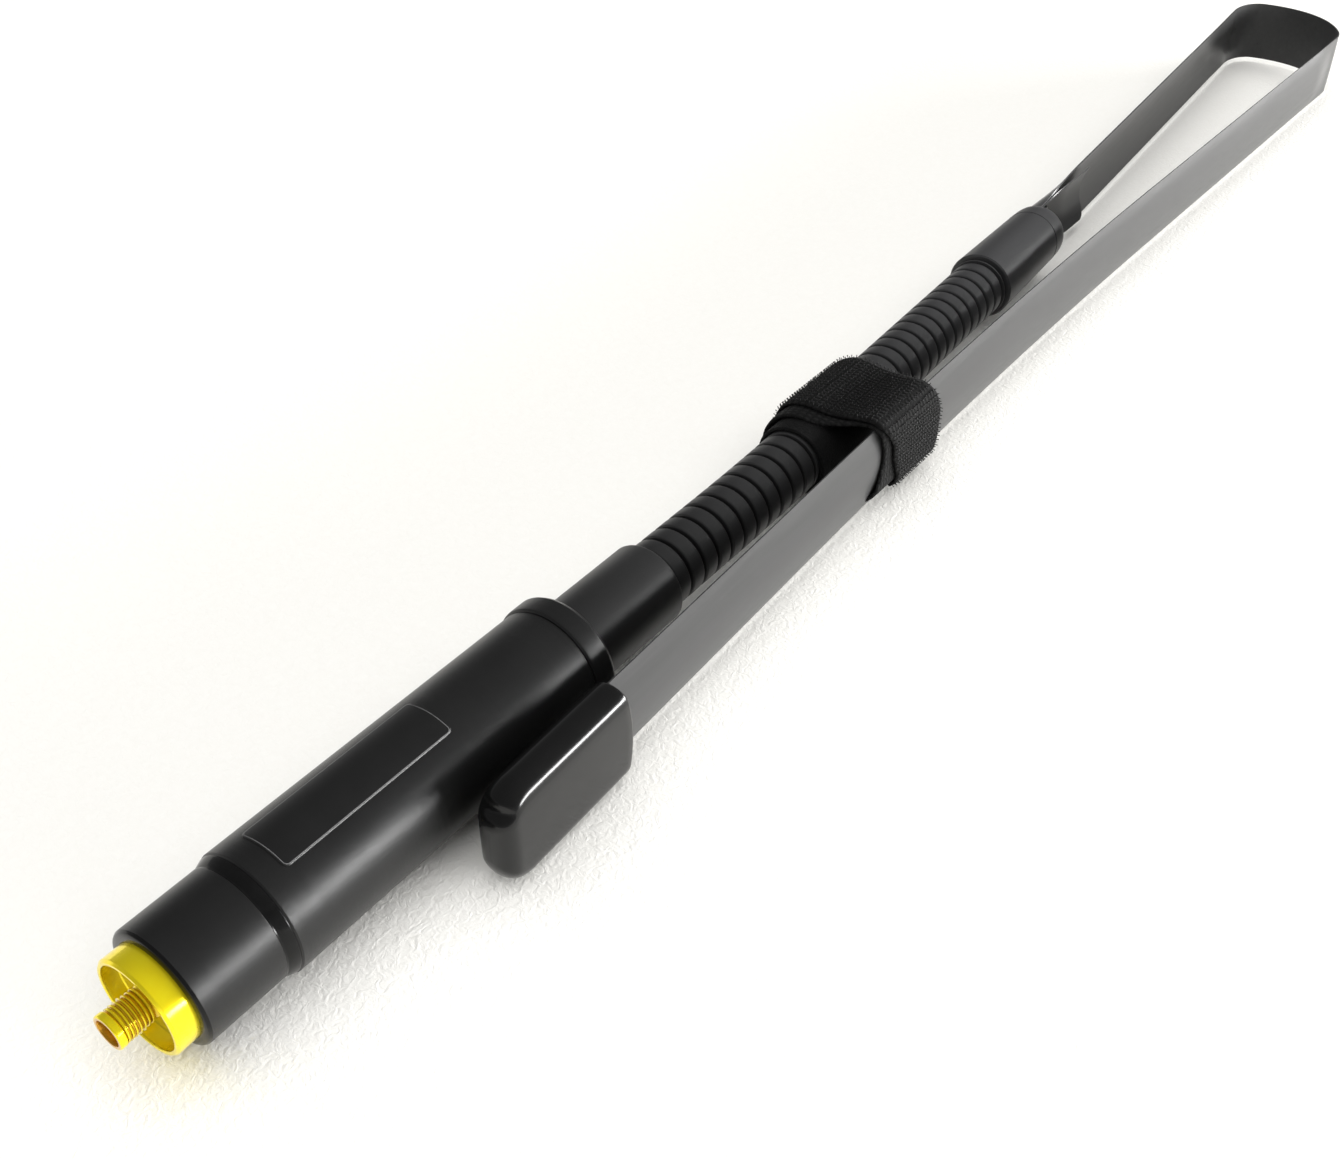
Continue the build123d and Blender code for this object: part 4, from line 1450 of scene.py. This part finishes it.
def strap_strip(name, first, last, edges, lift, material):
    """One stretch of one layer of the strap, with its own along-and-across map."""
    rings = []
    marks = []
    columns = 24
    for distance in stretch(first, last, 0.6):
        front, back = edges_at(edges, distance)
        ring = []
        for side in (1, -1):
            for step in range(columns + 1):
                share = (step if side > 0 else columns - step) / columns
                edge = min(step, columns - step)
                thin = 0.45 if edge == 0 else 1.0
                ring.append(strap_point(edges, distance, share, lift + side * STRAP_THICK / 2 * thin))
                marks.append((distance * MM, (front + (back - front) * share) * MM))
        rings.append(ring)
    mesh = mesh_from_rings(name, rings)
    chart = mesh.uv_layers.new(name="along")
    for loop in mesh.loops:
        chart.data[loop.index].uv = marks[loop.vertex_index]
    return link_mesh(name, mesh, material)


def hook_tree(material):
    """A small bent hook on every point, standing on the strap."""
    tree, entry = new_node_tree(
        "strap_hooks", [("Hook Height", "NodeSocketFloat"), ("Wire Radius", "NodeSocketFloat")]
    )
    arch = add_node(tree, "GeometryNodeCurvePrimitiveBezierSegment")
    arch.inputs["Resolution"].default_value = 5
    tall = add_node(tree, "ShaderNodeCombineXYZ", Z=entry.outputs["Hook Height"])
    arch.inputs["Start"].default_value = (0, 0, 0)
    arch.inputs["Start Handle"].default_value = (0, 0, 0.0005)
    arch.inputs["End Handle"].default_value = (0.0004, 0, 0.0006)
    tree.links.new(tall.outputs["Vector"], arch.inputs["End"])
    wire_radius = entry.outputs["Wire Radius"]
    section = add_node(tree, "GeometryNodeCurvePrimitiveCircle", Resolution=4, Radius=wire_radius)
    hook = add_node(
        tree,
        "GeometryNodeCurveToMesh",
        Curve=arch.outputs["Curve"],
        Profile_Curve=section.outputs["Curve"],
        Fill_Caps=True,
    )
    turn = tree.nodes.new("GeometryNodeInputNamedAttribute")
    turn.data_type = "FLOAT_VECTOR"
    turn.inputs["Name"].default_value = "turn"
    placed = add_node(
        tree,
        "GeometryNodeInstanceOnPoints",
        Points=entry.outputs["Geometry"],
        Instance=hook.outputs["Mesh"],
        Rotation=turn.outputs["Attribute"],
    )
    close_tree(tree, placed.outputs["Instances"], material)
    return tree


HOOK_PITCH_ALONG = 1.05
HOOK_PITCH_ACROSS = 0.95
HOOK_HEIGHT = 0.45
HOOK_WIRE_R = 0.11


def hook_field(name, first, last, tree, material):
    """Rows of hooks on the outer layer between two distances along the strap."""
    chance = random.Random(7)
    spots = []
    turns = []
    rows = range(math.ceil(first / HOOK_PITCH_ALONG), math.ceil(last / HOOK_PITCH_ALONG))
    for row in rows:
        distance = row * HOOK_PITCH_ALONG
        direction = strap_at(distance)[2]
        front, back = edges_at(OUTER_EDGES, distance)
        columns = int((back - front) / HOOK_PITCH_ACROSS)
        for column in range(columns):
            share = (column + 0.5 + chance.uniform(-0.1, 0.1)) / columns
            here = distance + chance.uniform(-0.1, 0.1)
            spots.append(strap_point(OUTER_EDGES, here, share, OUTER_LIFT + 0.4) * MM)
            turns += [direction + math.pi + chance.uniform(-0.25, 0.25), 0.0, 0.0]
    seeds = bpy.data.meshes.new(name + "_seeds")
    seeds.from_pydata(spots, [], [])
    attribute = seeds.attributes.new("turn", "FLOAT_VECTOR", "POINT")
    attribute.data.foreach_set("vector", turns)
    sizes = {"Hook Height": HOOK_HEIGHT * MM, "Wire Radius": HOOK_WIRE_R * MM}
    return grown(name, seeds, tree, sizes, material)


weave = strap_finish()
nylon = hook_finish()
stages = [
    ("wrap", 0.0, CREST - 3.0, "upper_neck", None),
    ("lift_fold", CREST - 3.0, CREST + 4.0, "upper_neck", "strap_flap"),
    ("bridge", CREST + 4.0, CORNER - 2.5, "strap_flap", None),
    ("peel_fold", CORNER - 2.5, CORNER + 5.0, "strap_flap", "strap_end"),
    ("tail", CORNER + 5.0, strap_length, "strap_end", None),
]


def fasten(piece, body, next_body):
    """Rides on one body, or, for a piece across the strap's hinge line, stays baked where it lies."""
    if next_body is None:
        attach(piece, body)
        return
    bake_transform(piece)


hooks = hook_tree(nylon)
stands_for = {"wrap": ("strap_bottom_run",), "bridge": ("strap_bridge",), "tail": ("strap_tail",)}
for stage, first, last, body, next_body in stages:
    outer = strap_strip(f"strap_outer_{stage}", first, last, OUTER_EDGES, OUTER_LIFT, weave)
    inner = strap_strip(f"strap_inner_{stage}", first, last, INNER_EDGES, INNER_LIFT, weave)
    field = hook_field(f"strap_hooks_{stage}", first, last, hooks, nylon)
    for piece in (outer, inner, field):
        fasten(piece, body, next_body)
    if stage in stands_for:
        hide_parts(*stands_for[stage])

NECK_WRAP_MIDDLE = 197.0
NECK_WRAP_WIDTH = 32.0


def neck_wrap():
    """The strap's first turn, drawn tight on the neck, with a rolled front edge."""
    half = NECK_WRAP_WIDTH / 2
    return lathe(
        "strap_neck_wrap",
        [
            (-half, turn_r + 0.1),
            (-half - 0.3, turn_r + 0.5),
            (-half, turn_r + 1.0),
            (half, turn_r + 1.0),
            (half, turn_r + 0.1),
        ],
        weave,
        soften=0.15,
        place=neck_matrix(NECK_WRAP_MIDDLE),
    )


wrap = neck_wrap()
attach(wrap, "upper_neck")
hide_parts("strap_neck_turn")
